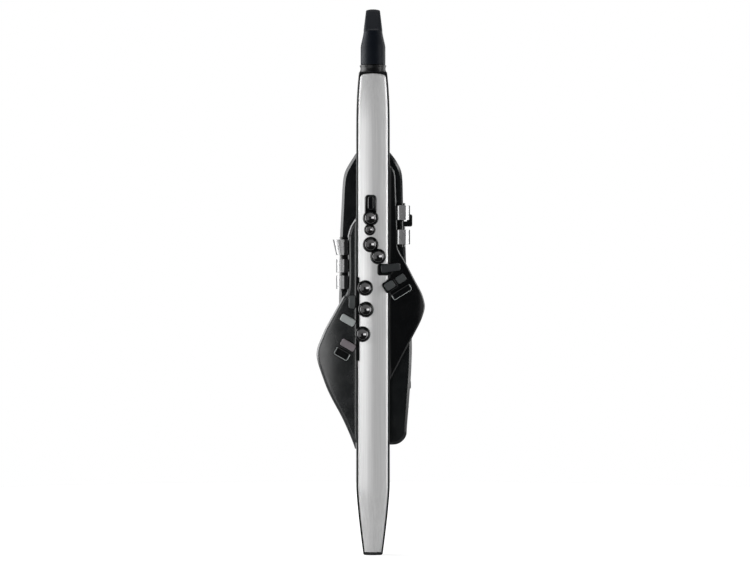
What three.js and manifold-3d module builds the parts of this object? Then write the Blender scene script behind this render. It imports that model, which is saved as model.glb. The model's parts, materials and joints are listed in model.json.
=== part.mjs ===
// A digital wind controller, played upright like a straight saxophone: a long slim body with a
// brushed front panel, round finger keys down the front, table keys on two flared wings, side and
// palm keys on rods, and thumb controls, a display and a battery bay on the housing behind.
// Millimetres. The origin is the centre of the flat foot, +Z runs up to the mouthpiece,
// the front with the finger keys faces -Y, and the left hand's wing is at +X.
import * as THREE from 'three';
import { mergeVertices } from 'three/addons/utils/BufferGeometryUtils.js';
import Module from 'manifold-3d';

const wasm = await Module();
wasm.setup();
const { Manifold, Mesh: SolidMesh } = wasm;

// Clearances shared by everything that fits together
const GAP = 0.3;
const OVERRUN = 3;

// The long body, from the foot to the neck
const BODY_HALF_WIDTH = 21;
const BODY_FRONT = 20;
const BODY_BACK = 17;
const BODY_WALL = 2.6;
const BODY_SIDE_BACK = 2;
const CROWN = 3.5;
const LIP = 1.9;
const LIP_ROUND = 0.9;
const FOOT_LENGTH = 132.6;
const FOOT_TAPER = 86;
const FOOT_HALF_WIDTH = 11.5;
const FOOT_FRONT = 11.5;
const FOOT_BACK = 9.5;
const NECK_LENGTH = 99.9;
const NECK_TAPER = 80;
const NECK_HALF_WIDTH = 17;
const NECK_FRONT = 16;
const NECK_BACK = 15.5;
const LEAN_LENGTH = 145;
const LEAN_BACK = 12;
const PANEL_THICK = 1.6;
const END_CAP = 3.8;
const END_ROUND = 2.2;
const PLUG_LENGTH = 7;

// Neck and mouthpiece
const COLLAR_HEIGHT = 9;
const COLLAR_RADIUS = 16.3;
const COLLAR_WAIST = 15.2;
const TENON_RADIUS = 8.7;
const TENON_LENGTH = 17;
const NECK_BORE = 3;
const MOUTHPIECE_RADIUS = 15.2;
const SLEEVE_LENGTH = 24;
const SLEEVE_EDGE = 1.6;
const CONE_LENGTH = 18;
const RIDGE_HALF_WIDTH = 11;
const RIDGE_LENGTH = 2.4;
const BEAK_LENGTH = 25.3;
const TIP_HALF_WIDTH = 8.2;
const TIP_THICK = 3;
const TIP_ROUND = 0.9;
const WINDWAY_WIDTH = 9;
const WINDWAY_WALL = 3.2;
const REED_TABLE = 9.3;
const REED_WIDTH = 14;
const REED_LENGTH = 40;
const REED_THICK = 2.6;
const REED_TIP = 0.8;
const TUBE_RADIUS = 2.6;
const SENSOR_SIZE = 14;
const SENSOR_HEIGHT = 16;

// The housing behind the body, and how far it runs past what it carries
const HOUSING_STEP = 5.3;
const HOUSING_LEFT_MARGIN = 4.1;
const HOUSING_RIGHT_MARGIN = 11;
const HOUSING_TOP_MARGIN = 33.3;
const HOUSING_BEHIND = 21;
const HOUSING_ROUND = 12;
const HOUSING_WALL = 2.4;

// The two wings
const WING_SET_BACK = 4.7;
const WING_FALL = 4;
const WING_DEPTH = 20;
const WING_EDGE = 2.2;
const WING_WALL = 2.4;
const WING_TUCK = 3;
const LEFT_WING_SPAN = 43.5;
const LEFT_WING_LENGTH = 268.7;
const RIGHT_WING_SPAN = 48.7;
const RIGHT_WING_LENGTH = 290.1;
const TAB_SET_BACK = 1.6;
const TAB_TO_BOARD = 0.8;
const TAB_ROUND = 3;
const G_SHARP_TAB_REACH = 16.5;
const G_SHARP_TAB_HEIGHT = 14;
const C_SHARP_TAB_RIM = 1.6;

// Round finger keys: radius of the cap, rim round it, and where each one stands
const KEY_RADIUS = 6.9;
const SMALL_KEY_RADIUS = 4.7;
const KEY_RIM = 2.4;
const SMALL_KEY_RIM = 1.9;
const RIM_PROUD = 1.6;
const RIM_TO_BOARD = 1.6;
const RIM_EDGE = 0.7;
const KEY_PROUD = 2.8;
const KEY_HEIGHT = 11;
const KEY_DISH = 2.2;
const KEY_EDGE = 0.8;
const KEY_TRAVEL = 2;
const LEFT_STACK_X = -3;
const BIS_KEY_X = -4;
const G_KEY_X = 6.4;
const SHOULDER_TO_B = 34.2;
const B_TO_BIS = 14.7;
const B_TO_A = 33.2;
const B_TO_G = 48.1;
const B_TO_FRONT_F = 18.8;
const FRONT_F_WIDTH = 6.6;
const FRONT_F_LENGTH = 17;
const FRONT_F_RIM = 3.3;
const F_TO_B = 87.4;
const F_KEY_X = -9.8;
const E_KEY_X = -9;
const D_KEY_X = -13.1;
const F_TO_E = 26.9;
const F_TO_D = 57.7;
const RIM_FLARE = 6;

// Table keys: size, height over the wing, depth of the skirt below its surface, way out from the body's edge
const TABLE_RISE = 3.4;
const TABLE_SKIRT = 3.4;
const TABLE_ROUND = 1.4;
const TABLE_BEVEL = 0.7;
const WELL_DEPTH = 7;
const LEFT_TABLE_TURN = 0.56;
const G_SHARP_TURN = 0.14;
const RIGHT_TABLE_TURN = -0.52;
const G_SHARP_LENGTH = 24;
const G_SHARP_WIDTH = 9.6;
const G_SHARP_OUT = 1.2;
const B_TO_G_SHARP = 62.3;
const SHORT_KEY_LENGTH = 12.4;
const SHORT_KEY_WIDTH = 9.4;
const B_TO_C_SHARP = 84.3;
const LOW_B_OUT = 13.9;
const B_TO_LOW_B = 75.9;
const B_FLAT_LENGTH = 26.8;
const B_FLAT_WIDTH = 8.8;
const B_FLAT_OUT = 14.8;
const B_TO_B_FLAT = 92.5;
const RIGHT_TABLE_LENGTH = 19.4;
const RIGHT_TABLE_WIDTH = 9.2;
const E_FLAT_OUT = 10.4;
const F_TO_E_FLAT = 40.4;
const LOW_C_OUT = 10.1;
const F_TO_LOW_C = 71.4;
const LOW_A_OUT = 17.6;
const F_TO_LOW_A = 82.4;
const LOW_A_WIDTH = 10.4;
const F_SHARP_OUT = 5.3;
const F_TO_F_SHARP = 17.6;
const F_SHARP_WIDTH = 8;
const F_SHARP_LENGTH = 16.6;

// Side keys and palm keys, which rock on two rods
const ROD_RADIUS = 1.4;
const ROD_STAND = 5;
const ROD_END = 3.6;
const BARREL_RADIUS = 3;
const TOUCH_PROUD = 1.1;
const TOUCH_THICK = 3;
const TOUCH_TO_ROD = 7.4;
const TOUCH_GAP = 0.9;
const POST_SPAN = 5;
const SIDE_TOUCH_IN = 7.3;
const SIDE_TOUCH_OUT = 7;
const SIDE_FLARE = 4.4;
const SIDE_KEYS_DROP = 1.1;
const SIDE_KEY_LENGTH = 16.6;
const SIDE_E_LENGTH = 19.4;
const SIDE_C_POST = 4;
const SIDE_E_POST = 5.1;
const PALM_TOUCH_IN = 6.9;
const PALM_TOUCH_OUT = 8.7;
const PALM_RISE = 1.4;
const PALM_F_LENGTH = 18.2;
const PALM_POST = 4.1;
const PALM_E_FLAT_LENGTH = 15.3;
const PALM_E_FLAT_ARM = 6.6;
const PALM_E_FLAT_NEAR = 4.7;
const PALM_E_FLAT_FAR = 11.5;
const PALM_E_FLAT_RISE = 0.4;
const PALM_STEP = 1.6;
const PALM_D_LENGTH = 18;

// Boards and cells inside
const BOARD_THICK = 1.6;
const DOME_RADIUS = 2.6;
const DOME_HEIGHT = 1.4;
const DOME_CLEAR = 0.4;
const KEY_BOARD_MARGIN = 14;
const MAIN_BOARD_TO_BACK = 11;
const MAIN_BOARD_HALF_WIDTH = 24;
const MAIN_BOARD_MARGIN = 1.5;
const STANDOFF_RADIUS = 2.5;
const STANDOFF_MARGIN = 5;
const CELL_RADIUS = 7.2;
const CELL_LENGTH = 50;
const CELL_NIB = 1;
const CELL_NIB_RADIUS = 2.6;
const CELL_STEP = 15.2;

// Controls and fittings on the back, and the room between them from the foot up
const DOOR_MARGIN = 22.1;
const DOOR_WIDTH = 40;
const DOOR_ROUND = 4;
const DOOR_THICK = 2;
const DOOR_LEDGE = 1.4;
const DOOR_TO_HOOK = 3;
const HOOK_WIDTH = 18;
const HOOK_PLATE = 26;
const HOOK_THICK = 3.2;
const HOOK_REACH = 31.5;
const HOOK_DROP = 16;
const SCREW_RADIUS = 2.4;
const SCREW_HEAD = 1.4;
const SCREW_SHANK = 1.3;
const HOOK_TO_RING = 4;
const STRAP_BRACKET_WIDTH = 14;
const STRAP_BRACKET_HEIGHT = 10;
const STRAP_EAR = 2.3;
const STRAP_BRACKET_BASE = 2.2;
const RING_RADIUS = 8;
const RING_WIRE = 1.3;
const RING_PIVOT = 5.2;
const STRAP_TO_DISPLAY = 10;
const DISPLAY_WIDTH = 34;
const DISPLAY_HEIGHT = 20;
const DISPLAY_ROUND = 2;
const WINDOW_THICK = 1.4;
const DISPLAY_TO_BUTTONS = 6.8;
const BUTTON_RADIUS = 3.2;
const BUTTON_RISE = 1.4;
const BUTTON_SKIRT = 4;
const BUTTON_STEP = 11;
const BUTTONS_TO_THUMB = 15.3;
const THUMB_REST_WIDTH = 21;
const THUMB_REST_LENGTH = 27;
const THUMB_REST_THICK = 5;
const THUMB_DISH = 1.6;
const OCTAVE_WIDTH = 21;
const OCTAVE_LENGTH = 14;
const OCTAVE_RISE = 4;
const OCTAVE_SKIRT = 4;
const OCTAVE_GAP = 3;
const LEVER_GAP = 5.5;
const LEVER_WIDTH = 8;
const LEVER_LENGTH = 24;
const LEVER_THICK = 3;
const LEVER_BARREL = 2.4;
const THUMB_TO_POWER = 22.3;
const POWER_RADIUS = 4.2;
const KNOB_GAP = 2.5;
const KNOB_RADIUS = 5;
const KNOB_HEIGHT = 6.5;
const KNOB_SHAFT = 2;
const JACK_RADIUS = 5;
const JACK_BORE = 3.2;
const JACK_LENGTH = 14;
const JACK_PROUD = 1;
const JACK_DEPTH = 20;
const JACK_RISE = 75.1;
const JACK_TO_USB = 23;
const USB_WIDTH = 9.2;
const USB_HEIGHT = 3.6;
const USB_WALL = 1.6;
const USB_LENGTH = 10;

// Where each wing's edge turns in to its narrow upper part: shares of its span and of its length
const leftShoulderShares = [0.205, 0.628];
const rightShoulderShares = [0.205, 0.697];

// Outlines, as shares of the reach to one side and of the height from bottom to top
const leftHousingShares = [
  [0.47, 1], [0.68, 0.962], [0.813, 0.932], [0.875, 0.894], [0.917, 0.802], [0.956, 0.703],
  [0.979, 0.536], [1, 0.358], [0.956, 0.221], [0.813, 0.112], [0.667, 0.051], [0.49, 0.006],
];
const rightHousingShares = [
  [0.427, 0], [0.612, 0.002], [0.76, 0.013], [0.858, 0.033], [0.877, 0.064], [0.945, 0.177],
  [0.988, 0.262], [1, 0.365], [0.925, 0.5], [0.856, 0.621], [0.838, 0.682], [0.803, 0.764],
  [0.774, 0.829], [0.747, 0.922], [0.618, 0.966], [0.43, 1],
];
const leftWingShares = [
  [0, 1], [0.124, 0.967], [0.152, 0.892], [0.172, 0.811], [0.198, 0.71], leftShoulderShares,
  [0.274, 0.593], [0.416, 0.556], [0.56, 0.512], [0.706, 0.467], [0.897, 0.409], [0.984, 0.366],
  [1, 0.336], [0.947, 0.304], [0.851, 0.265], [0.634, 0.198], [0.345, 0.109], [0, 0],
];
const rightWingShares = [
  [0, 1], [0.121, 0.965], [0.183, 0.932], [0.198, 0.904], rightShoulderShares, [0.335, 0.654],
  [0.548, 0.589], [0.762, 0.524], [0.871, 0.483], [0.967, 0.443], [1, 0.407], [0.957, 0.368],
  [0.871, 0.325], [0.741, 0.266], [0.587, 0.212], [0.335, 0.134], [0.117, 0.053], [0, 0],
];
// Edge roundings: share of the rounding drawn in, share of the depth gone back
const wingLevelShares = [[1, 0], [0.3, 0.03], [0, 0.12], [0.4, 0.4], [2.6, 0.8], [4.8, 1]];
const wingInsideShares = [[0, 0], [0.4, 0.4], [4.8, 1]];
const housingLevelShares = [[0.25, 0], [0, 0.08], [0.05, 0.5], [0.35, 0.8], [0.68, 0.94], [1, 1]];
const housingInsideShares = [[0.06, 0], [0.35, 0.75], [1, 1]];
// Body sections down the foot's taper and up the neck's
const footStationShares = [0, 0.15, 0.4, 0.68, 1];
const neckStationShares = [0, 0.3, 0.5, 0.65, 0.78, 0.89, 1];
const FOOT_POWER = 1.3;
const NECK_POWER = 2.8;
const BACK_POWER = 2.5;
const backAngleShares = [0.13, 0.26, 0.39, 0.5, 0.61, 0.74, 0.87];
const crownShares = [-1, -0.5, 0, 0.5, 1];
// The most of a plate's half width that its corners may take, and how far small edges are drawn in
const cornerShare = 0.98;
const softEdgeShare = 0.3;
// Flat top of the reed, and flat middle stretch of the thumb rest
const reedCrownShare = 0.8;
const restFlatShare = 0.6;
const restDishShare = 0.7;
// Width of the web between a touch and its barrel
const webShare = 0.8;

// Faces per turn
const ROUND_SIDES = 18;
const SMALL_SIDES = 10;
const CORNER_SIDES = 2;
const RING_SIDES = 6;
const HOOK_SIDES = 8;

// Depths from the body's front back to the housing's back
const RIM_FRONT = -BODY_FRONT - RIM_PROUD;
const KEY_FRONT = RIM_FRONT - KEY_PROUD;
const KEY_BACK = KEY_FRONT + KEY_HEIGHT;
const DOME_FRONT = KEY_BACK + KEY_TRAVEL + DOME_CLEAR;
const KEY_BOARD_FRONT = DOME_FRONT + DOME_HEIGHT;
const RIM_BACK = KEY_BOARD_FRONT - RIM_TO_BOARD;
const WING_FRONT = WING_SET_BACK - BODY_FRONT;
const TAB_FRONT = TAB_SET_BACK - BODY_FRONT;
const TAB_BACK = KEY_BOARD_FRONT - TAB_TO_BOARD;
const TOUCH_FRONT = WING_FRONT - TOUCH_PROUD;
const ROD_Y = TOUCH_FRONT + TOUCH_TO_ROD;
const PALM_E_FLAT_FRONT = ROD_Y - PALM_E_FLAT_RISE;
const HOUSING_FRONT = ROD_Y + ROD_STAND;
const HOUSING_BACK = BODY_BACK + HOUSING_BEHIND;
const BACK_SURFACE = HOUSING_BACK + GAP;
const BACK_INSIDE = HOUSING_BACK - HOUSING_WALL;
const MAIN_BOARD_Y = HOUSING_BACK - MAIN_BOARD_TO_BACK;
const JACK_Y = HOUSING_FRONT + JACK_DEPTH;

// Heights on the front, from the right-hand wing up
const RIGHT_WING_BOTTOM = FOOT_LENGTH;
const F_KEY_Z = RIGHT_WING_BOTTOM + RIGHT_WING_LENGTH * rightShoulderShares[1];
const SIDE_B_FLAT_BOTTOM = F_KEY_Z - SIDE_KEYS_DROP;
const SIDE_C_BOTTOM = SIDE_B_FLAT_BOTTOM + SIDE_KEY_LENGTH + SIDE_C_POST;
const SIDE_E_BOTTOM = SIDE_C_BOTTOM + SIDE_KEY_LENGTH + SIDE_E_POST;
const B_KEY_Z = F_KEY_Z + F_TO_B;
const LEFT_SHOULDER = B_KEY_Z - SHOULDER_TO_B;
const LEFT_WING_BOTTOM = LEFT_SHOULDER - LEFT_WING_LENGTH * leftShoulderShares[1];
const PALM_F_BOTTOM = LEFT_SHOULDER + PALM_RISE;
const PALM_E_FLAT_BOTTOM = PALM_F_BOTTOM + PALM_F_LENGTH + PALM_POST;
const PALM_D_BOTTOM = PALM_E_FLAT_BOTTOM + PALM_E_FLAT_ARM + PALM_STEP;

// Heights on the back, from the housing's foot up
const HOUSING_BOTTOM = RIGHT_WING_BOTTOM + HOUSING_STEP;
const DOOR_BOTTOM = HOUSING_BOTTOM + DOOR_MARGIN;
const DOOR_HEIGHT = CELL_LENGTH * 2 + DOOR_ROUND * 2;
const HOOK_Z = DOOR_BOTTOM + DOOR_HEIGHT + DOOR_TO_HOOK + HOOK_PLATE / 2;
const hookScrewZ = HOOK_Z - HOOK_PLATE / 4;
const STRAP_Z = HOOK_Z + HOOK_PLATE / 2 + HOOK_TO_RING + RING_RADIUS * 2;
const DISPLAY_Z = STRAP_Z + STRAP_BRACKET_HEIGHT / 2 + STRAP_TO_DISPLAY + DISPLAY_HEIGHT / 2;
const BUTTON_Z = DISPLAY_Z + DISPLAY_HEIGHT / 2 + DISPLAY_TO_BUTTONS + BUTTON_RADIUS;
const thumbReach = THUMB_REST_LENGTH / 2 + OCTAVE_GAP + OCTAVE_LENGTH;
const THUMB_Z = BUTTON_Z + BUTTON_RADIUS + BUTTONS_TO_THUMB + thumbReach;
const POWER_Z = THUMB_Z + thumbReach + THUMB_TO_POWER + POWER_RADIUS;
const HOUSING_TOP = POWER_Z + POWER_RADIUS + HOUSING_TOP_MARGIN;
const MAIN_BOARD_BOTTOM = HOOK_Z + HOOK_PLATE / 2 + MAIN_BOARD_MARGIN;
const MAIN_BOARD_TOP = POWER_Z + MAIN_BOARD_MARGIN;
const OUTPUT_JACK_Z = HOUSING_BOTTOM + JACK_RISE;
const USB_Z = OUTPUT_JACK_Z - JACK_TO_USB;

// Heights of the neck and the mouthpiece
const BODY_LENGTH = HOUSING_TOP + NECK_LENGTH;
const MOUTHPIECE_BASE = BODY_LENGTH + COLLAR_HEIGHT + GAP;
const CONE_BASE = MOUTHPIECE_BASE + SLEEVE_LENGTH;
const RIDGE_BASE = CONE_BASE + CONE_LENGTH;
const BEAK_BASE = RIDGE_BASE + RIDGE_LENGTH;
const TIP_Z = BEAK_BASE + BEAK_LENGTH;
const LEAN_START = TIP_Z - LEAN_LENGTH;

// Distances across, from the body's edge out over the wings to the rods and the housing's edges
const SIDE_TOUCH_INNER = BODY_HALF_WIDTH + RIGHT_WING_SPAN * rightShoulderShares[0] + TOUCH_GAP;
const sideRod = SIDE_TOUCH_INNER + SIDE_TOUCH_IN;
const SIDE_TOUCH_OUTER = sideRod + SIDE_TOUCH_OUT;
const HOUSING_LEFT = sideRod + HOUSING_LEFT_MARGIN;
const PALM_TOUCH_INNER = BODY_HALF_WIDTH + LEFT_WING_SPAN * leftShoulderShares[0] + TOUCH_GAP;
const palmRod = PALM_TOUCH_INNER + PALM_TOUCH_IN;
const PALM_TOUCH_OUTER = palmRod + PALM_TOUCH_OUT;
const HOUSING_RIGHT = palmRod + HOUSING_RIGHT_MARGIN;
const LEVER_X = THUMB_REST_WIDTH / 2 + LEVER_GAP + LEVER_WIDTH / 2;
const KNOB_X = DISPLAY_WIDTH / 2 + KNOB_GAP + KNOB_RADIUS;

// Turns a geometry into a solid, dropping flat faces and turning it right side out
function solidOf(geometry) {
  const bare = geometry.clone();
  bare.deleteAttribute('normal');
  bare.deleteAttribute('uv');
  const welded = mergeVertices(bare);
  const places = welded.attributes.position.array;
  const corners = [];
  let volume = 0;
  const at = (i) => new THREE.Vector3().fromArray(places, i * 3);
  for (let i = 0; i < welded.index.count; i += 3) {
    const [a, b, c] = [0, 1, 2].map((step) => welded.index.getX(i + step));
    if (a !== b && b !== c && c !== a) {
      corners.push([a, b, c]);
      volume += at(a).dot(at(b).cross(at(c)));
    }
  }
  const facing = corners.map(([a, b, c]) => (volume < 0 ? [a, c, b] : [a, b, c]));
  return new Manifold(new SolidMesh({
    numProp: 3,
    vertProperties: new Float32Array(places),
    triVerts: new Uint32Array(facing.flat()),
  }));
}

function geometryOf(solid) {
  const mesh = solid.getMesh();
  const geometry = new THREE.BufferGeometry();
  geometry.setAttribute('position', new THREE.BufferAttribute(mesh.vertProperties, 3));
  geometry.setIndex(new THREE.BufferAttribute(mesh.triVerts, 1));
  geometry.computeVertexNormals();
  return geometry;
}

const joined = (solids) => solids.reduce((whole, next) => whole.add(next));
const cutBy = (solid, cutters) => cutters.reduce((left, next) => left.subtract(next), solid);

// A skin over rings of equal length, with a flat cap on the first and the last ring
function loft(rings, flatten) {
  const count = rings[0].length;
  const index = [];
  for (let r = 0; r + 1 < rings.length; r += 1) {
    for (let i = 0; i < count; i += 1) {
      const j = (i + 1) % count;
      const [a, b, c, d] = [r * count + i, r * count + j, (r + 1) * count + i, (r + 1) * count + j];
      index.push(a, b, d, a, d, c);
    }
  }
  const cap = (ring, offset, reverse) => {
    const outline = ring.map(flatten);
    const ringTurns = THREE.ShapeUtils.area(outline) > 0;
    for (const [a, b, c] of THREE.ShapeUtils.triangulateShape(outline, [])) {
      const faceTurns = THREE.ShapeUtils.area([outline[a], outline[b], outline[c]]) > 0;
      const [q, r] = (faceTurns === ringTurns) === reverse ? [c, b] : [b, c];
      index.push(offset + a, offset + q, offset + r);
    }
  };
  cap(rings[0], 0, true);
  cap(rings[rings.length - 1], (rings.length - 1) * count, false);
  const geometry = new THREE.BufferGeometry();
  const places = rings.flat().flatMap((p) => [p.x, p.y, p.z]);
  geometry.setAttribute('position', new THREE.Float32BufferAttribute(places, 3));
  geometry.setIndex(index);
  return solidOf(geometry);
}

const seenFromAbove = (p) => new THREE.Vector2(p.x, p.y);
const seenFromFront = (p) => new THREE.Vector2(p.x, p.z);

// A round solid about the Y axis through (x, z), from points of (radius, y)
function turned(points, x, z, sides) {
  const geometry = new THREE.LatheGeometry(points.map(([r, y]) => new THREE.Vector2(r, y)), sides);
  geometry.translate(x, 0, z);
  return solidOf(geometry);
}

// A round solid about an upright axis through (x, y), from points of (radius, z)
function turnedUpright(points, x, y, sides) {
  const geometry = new THREE.LatheGeometry(points.map(([r, z]) => new THREE.Vector2(r, -z)), sides);
  geometry.rotateX(-Math.PI / 2);
  geometry.translate(x, y, 0);
  return solidOf(geometry);
}

function rod(radius, x, y, low, high, sides = SMALL_SIDES) {
  return turnedUpright([[0, low], [radius, low], [radius, high], [0, high]], x, y, sides);
}

function disc(radius, x, z, front, back, sides = ROUND_SIDES) {
  return turned([[0, front], [radius, front], [radius, back], [0, back]], x, z, sides);
}

function block(xLow, xHigh, yLow, yHigh, zLow, zHigh) {
  const geometry = new THREE.BoxGeometry(xHigh - xLow, yHigh - yLow, zHigh - zLow);
  geometry.translate((xLow + xHigh) / 2, (yLow + yHigh) / 2, (zLow + zHigh) / 2);
  return solidOf(geometry);
}

function roundedShape(width, height, corner) {
  const [x, y] = [width / 2, height / 2];
  const r = Math.min(corner, x * cornerShare, y * cornerShare);
  const shape = new THREE.Shape();
  shape.moveTo(r - x, -y);
  shape.lineTo(x - r, -y);
  shape.absarc(x - r, r - y, r, -Math.PI / 2, 0, false);
  shape.lineTo(x, y - r);
  shape.absarc(x - r, y - r, r, 0, Math.PI / 2, false);
  shape.lineTo(r - x, y);
  shape.absarc(r - x, y - r, r, Math.PI / 2, Math.PI, false);
  shape.lineTo(-x, r - y);
  shape.absarc(r - x, r - y, r, Math.PI, Math.PI * 1.5, false);
  return shape;
}

// A rounded plate seen from the front, as a geometry about its own middle with its front at y = 0
function plateGeometry(width, height, corner, thick, bevel = 0) {
  const shape = roundedShape(width - bevel * 2, height - bevel * 2, Math.max(corner - bevel, bevel));
  const geometry = new THREE.ExtrudeGeometry(shape, {
    depth: thick - bevel,
    curveSegments: CORNER_SIDES,
    bevelEnabled: bevel > 0,
    bevelThickness: bevel,
    bevelSize: bevel,
    bevelSegments: 1,
  });
  geometry.rotateX(Math.PI / 2);
  geometry.translate(0, thick - bevel, 0);
  if (bevel > 0) {
    flattenBack(geometry, thick, bevel);
  }
  return geometry;
}

// Draws the bevel of a plate's hidden end back to one flat face
function flattenBack(geometry, thick, bevel) {
  const place = geometry.attributes.position;
  for (let i = 0; i < place.count; i += 1) {
    place.setY(i, Math.max(0, Math.min(place.getY(i), thick + bevel)));
  }
}

function plateAt(width, height, corner, x, z, front, back, turn = 0) {
  const geometry = plateGeometry(width, height, corner, back - front);
  geometry.rotateY(-turn);
  geometry.translate(x, front, z);
  return solidOf(geometry);
}

// Leans whatever is above the start of the neck's bend back towards the player
function leanBack(geometry) {
  const place = geometry.attributes.position;
  for (let i = 0; i < place.count; i += 1) {
    const share = Math.max(0, place.getZ(i) - LEAN_START) / LEAN_LENGTH;
    place.setY(i, place.getY(i) + LEAN_BACK * share * share);
  }
  return geometry;
}

// Half width, front and back of the body at a height
function bodySection(z) {
  const foot = Math.max(0, 1 - z / FOOT_TAPER) ** FOOT_POWER;
  const neck = Math.max(0, (z - BODY_LENGTH + NECK_TAPER) / NECK_TAPER) ** NECK_POWER;
  const blend = (full, low, high) => full - (full - low) * foot - (full - high) * neck;
  return {
    half: blend(BODY_HALF_WIDTH, FOOT_HALF_WIDTH, NECK_HALF_WIDTH),
    front: blend(BODY_FRONT, FOOT_FRONT, NECK_FRONT),
    back: blend(BODY_BACK, FOOT_BACK, NECK_BACK),
  };
}

function bodyStations(bottom, top) {
  const foot = footStationShares.map((share) => share * FOOT_TAPER);
  const neck = neckStationShares.map((share) => BODY_LENGTH - NECK_TAPER * (1 - share));
  return [bottom, ...[...foot, ...neck].filter((z) => z > bottom + GAP && z < top - GAP), top];
}

function backArc(half, back, sideBack) {
  return backAngleShares.map((share) => {
    const angle = share * Math.PI;
    const x = half * Math.sign(Math.cos(angle)) * Math.abs(Math.cos(angle)) ** (2 / BACK_POWER);
    const y = sideBack + (back - sideBack) * Math.sin(angle) ** (2 / BACK_POWER);
    return [x, y];
  });
}

// One section of the whole body, grown all round by a margin
function bodyRing(z, grow) {
  const { half, front, back } = bodySection(z);
  const edge = half - LIP + Math.min(grow, 0);
  const crown = crownShares.map((share) => [edge * share, -front - grow + CROWN * share * share]);
  const corner = [
    [half + grow - LIP_ROUND / 2, CROWN - front - grow + LIP_ROUND], [half + grow, CROWN * 2 - front],
  ];
  const left = corner.map(([x, y]) => [-x, y]).reverse();
  const side = [half + grow, BODY_SIDE_BACK];
  const arc = backArc(half + grow, back + grow, BODY_SIDE_BACK);
  const ring = [...left, ...crown, ...corner, side, ...arc, [-side[0], side[1]]];
  return ring.map(([x, y]) => new THREE.Vector3(x, y, z));
}

function bodySolid(bottom, top, grow) {
  return loft(bodyStations(bottom, top).map((z) => bodyRing(z, grow)), seenFromAbove);
}

// The room inside the body, open to the front
function bodyCavity(bottom, top) {
  const rings = bodyStations(bottom, top).map((z) => {
    const { half, front, back } = bodySection(z);
    const inside = half - BODY_WALL;
    const mouth = [[-inside, -front - OVERRUN], [inside, -front - OVERRUN], [inside, BODY_SIDE_BACK]];
    const ring = [...mouth, ...backArc(inside, back - BODY_WALL, BODY_SIDE_BACK), [-inside, BODY_SIDE_BACK]];
    return ring.map(([x, y]) => new THREE.Vector3(x, y, z));
  });
  return loft(rings, seenFromAbove);
}

// The seat that the front panel drops into
function panelSeat(bottom, top) {
  const rings = bodyStations(bottom, top).map((z) => {
    const { half, front } = bodySection(z);
    const edge = half - LIP + GAP;
    const floor = CROWN - front + PANEL_THICK + GAP;
    const ring = [[-edge, -front - OVERRUN], [edge, -front - OVERRUN], [edge, floor], [-edge, floor]];
    return ring.map(([x, y]) => new THREE.Vector3(x, y, z));
  });
  return loft(rings, seenFromAbove);
}

function panelSolid() {
  const rings = bodyStations(END_CAP + GAP, BODY_LENGTH - GAP).map((z) => {
    const { half, front } = bodySection(z);
    const edge = half - LIP;
    const skin = (depth) => crownShares.map((share) => (
      new THREE.Vector3(edge * share, CROWN * share * share - front + depth, z)));
    return [...skin(0), ...skin(PANEL_THICK).reverse()];
  });
  return loft(rings, seenFromAbove);
}

// Outlines of the housing and the wings, from their shares
function housingOutline(inset) {
  const middle = (HOUSING_BOTTOM + HOUSING_TOP) / 2;
  const halfHeight = (HOUSING_TOP - HOUSING_BOTTOM) / 2;
  const height = (share) => middle + (share * 2 - 1) * (halfHeight - inset);
  const left = leftHousingShares.map(([x, z]) => [-x * (HOUSING_LEFT - inset), height(z)]);
  const right = rightHousingShares.map(([x, z]) => [x * (HOUSING_RIGHT - inset), height(z)]);
  return [...left, ...right];
}

function housingSolid(grow, levels = housingLevelShares) {
  const depth = HOUSING_BACK - HOUSING_FRONT + grow * 2;
  const rings = levels.map(([drawn, gone]) => {
    const y = HOUSING_FRONT - grow + depth * gone;
    return housingOutline(drawn * HOUSING_ROUND - grow).map(([x, z]) => new THREE.Vector3(x, y, z));
  });
  return loft(rings, seenFromFront);
}

function wingFall(x, reach) {
  return (WING_FALL * (Math.abs(x) - BODY_HALF_WIDTH)) / (reach - BODY_HALF_WIDTH);
}

function wingSolid(wing, grow, tuck, levels) {
  const { side, shares, reach, bottom, top } = wing;
  const middle = (bottom + top) / 2;
  const halfHeight = (top - bottom) / 2;
  const depth = WING_DEPTH + grow * 2;
  const rings = levels.map(([drawn, gone]) => {
    const inset = drawn * WING_EDGE - grow;
    const outline = shares.map(([x, z]) => [
      BODY_HALF_WIDTH + x * (reach - BODY_HALF_WIDTH - inset), middle + (z * 2 - 1) * (halfHeight - inset)]);
    const inner = BODY_HALF_WIDTH - tuck;
    const ring = [...outline, [inner, outline[outline.length - 1][1]], [inner, outline[0][1]]];
    return ring.map(([x, z]) => new THREE.Vector3(
      side * x, WING_FRONT - grow + depth * gone + wingFall(x, reach) * (1 - gone), z));
  });
  return loft(rings, seenFromFront);
}

const LEFT_WING = {
  side: 1, shares: leftWingShares, reach: BODY_HALF_WIDTH + LEFT_WING_SPAN,
  bottom: LEFT_WING_BOTTOM, top: LEFT_WING_BOTTOM + LEFT_WING_LENGTH,
};
const RIGHT_WING = {
  side: -1, shares: rightWingShares, reach: BODY_HALF_WIDTH + RIGHT_WING_SPAN,
  bottom: RIGHT_WING_BOTTOM, top: RIGHT_WING_BOTTOM + RIGHT_WING_LENGTH,
};

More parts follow.
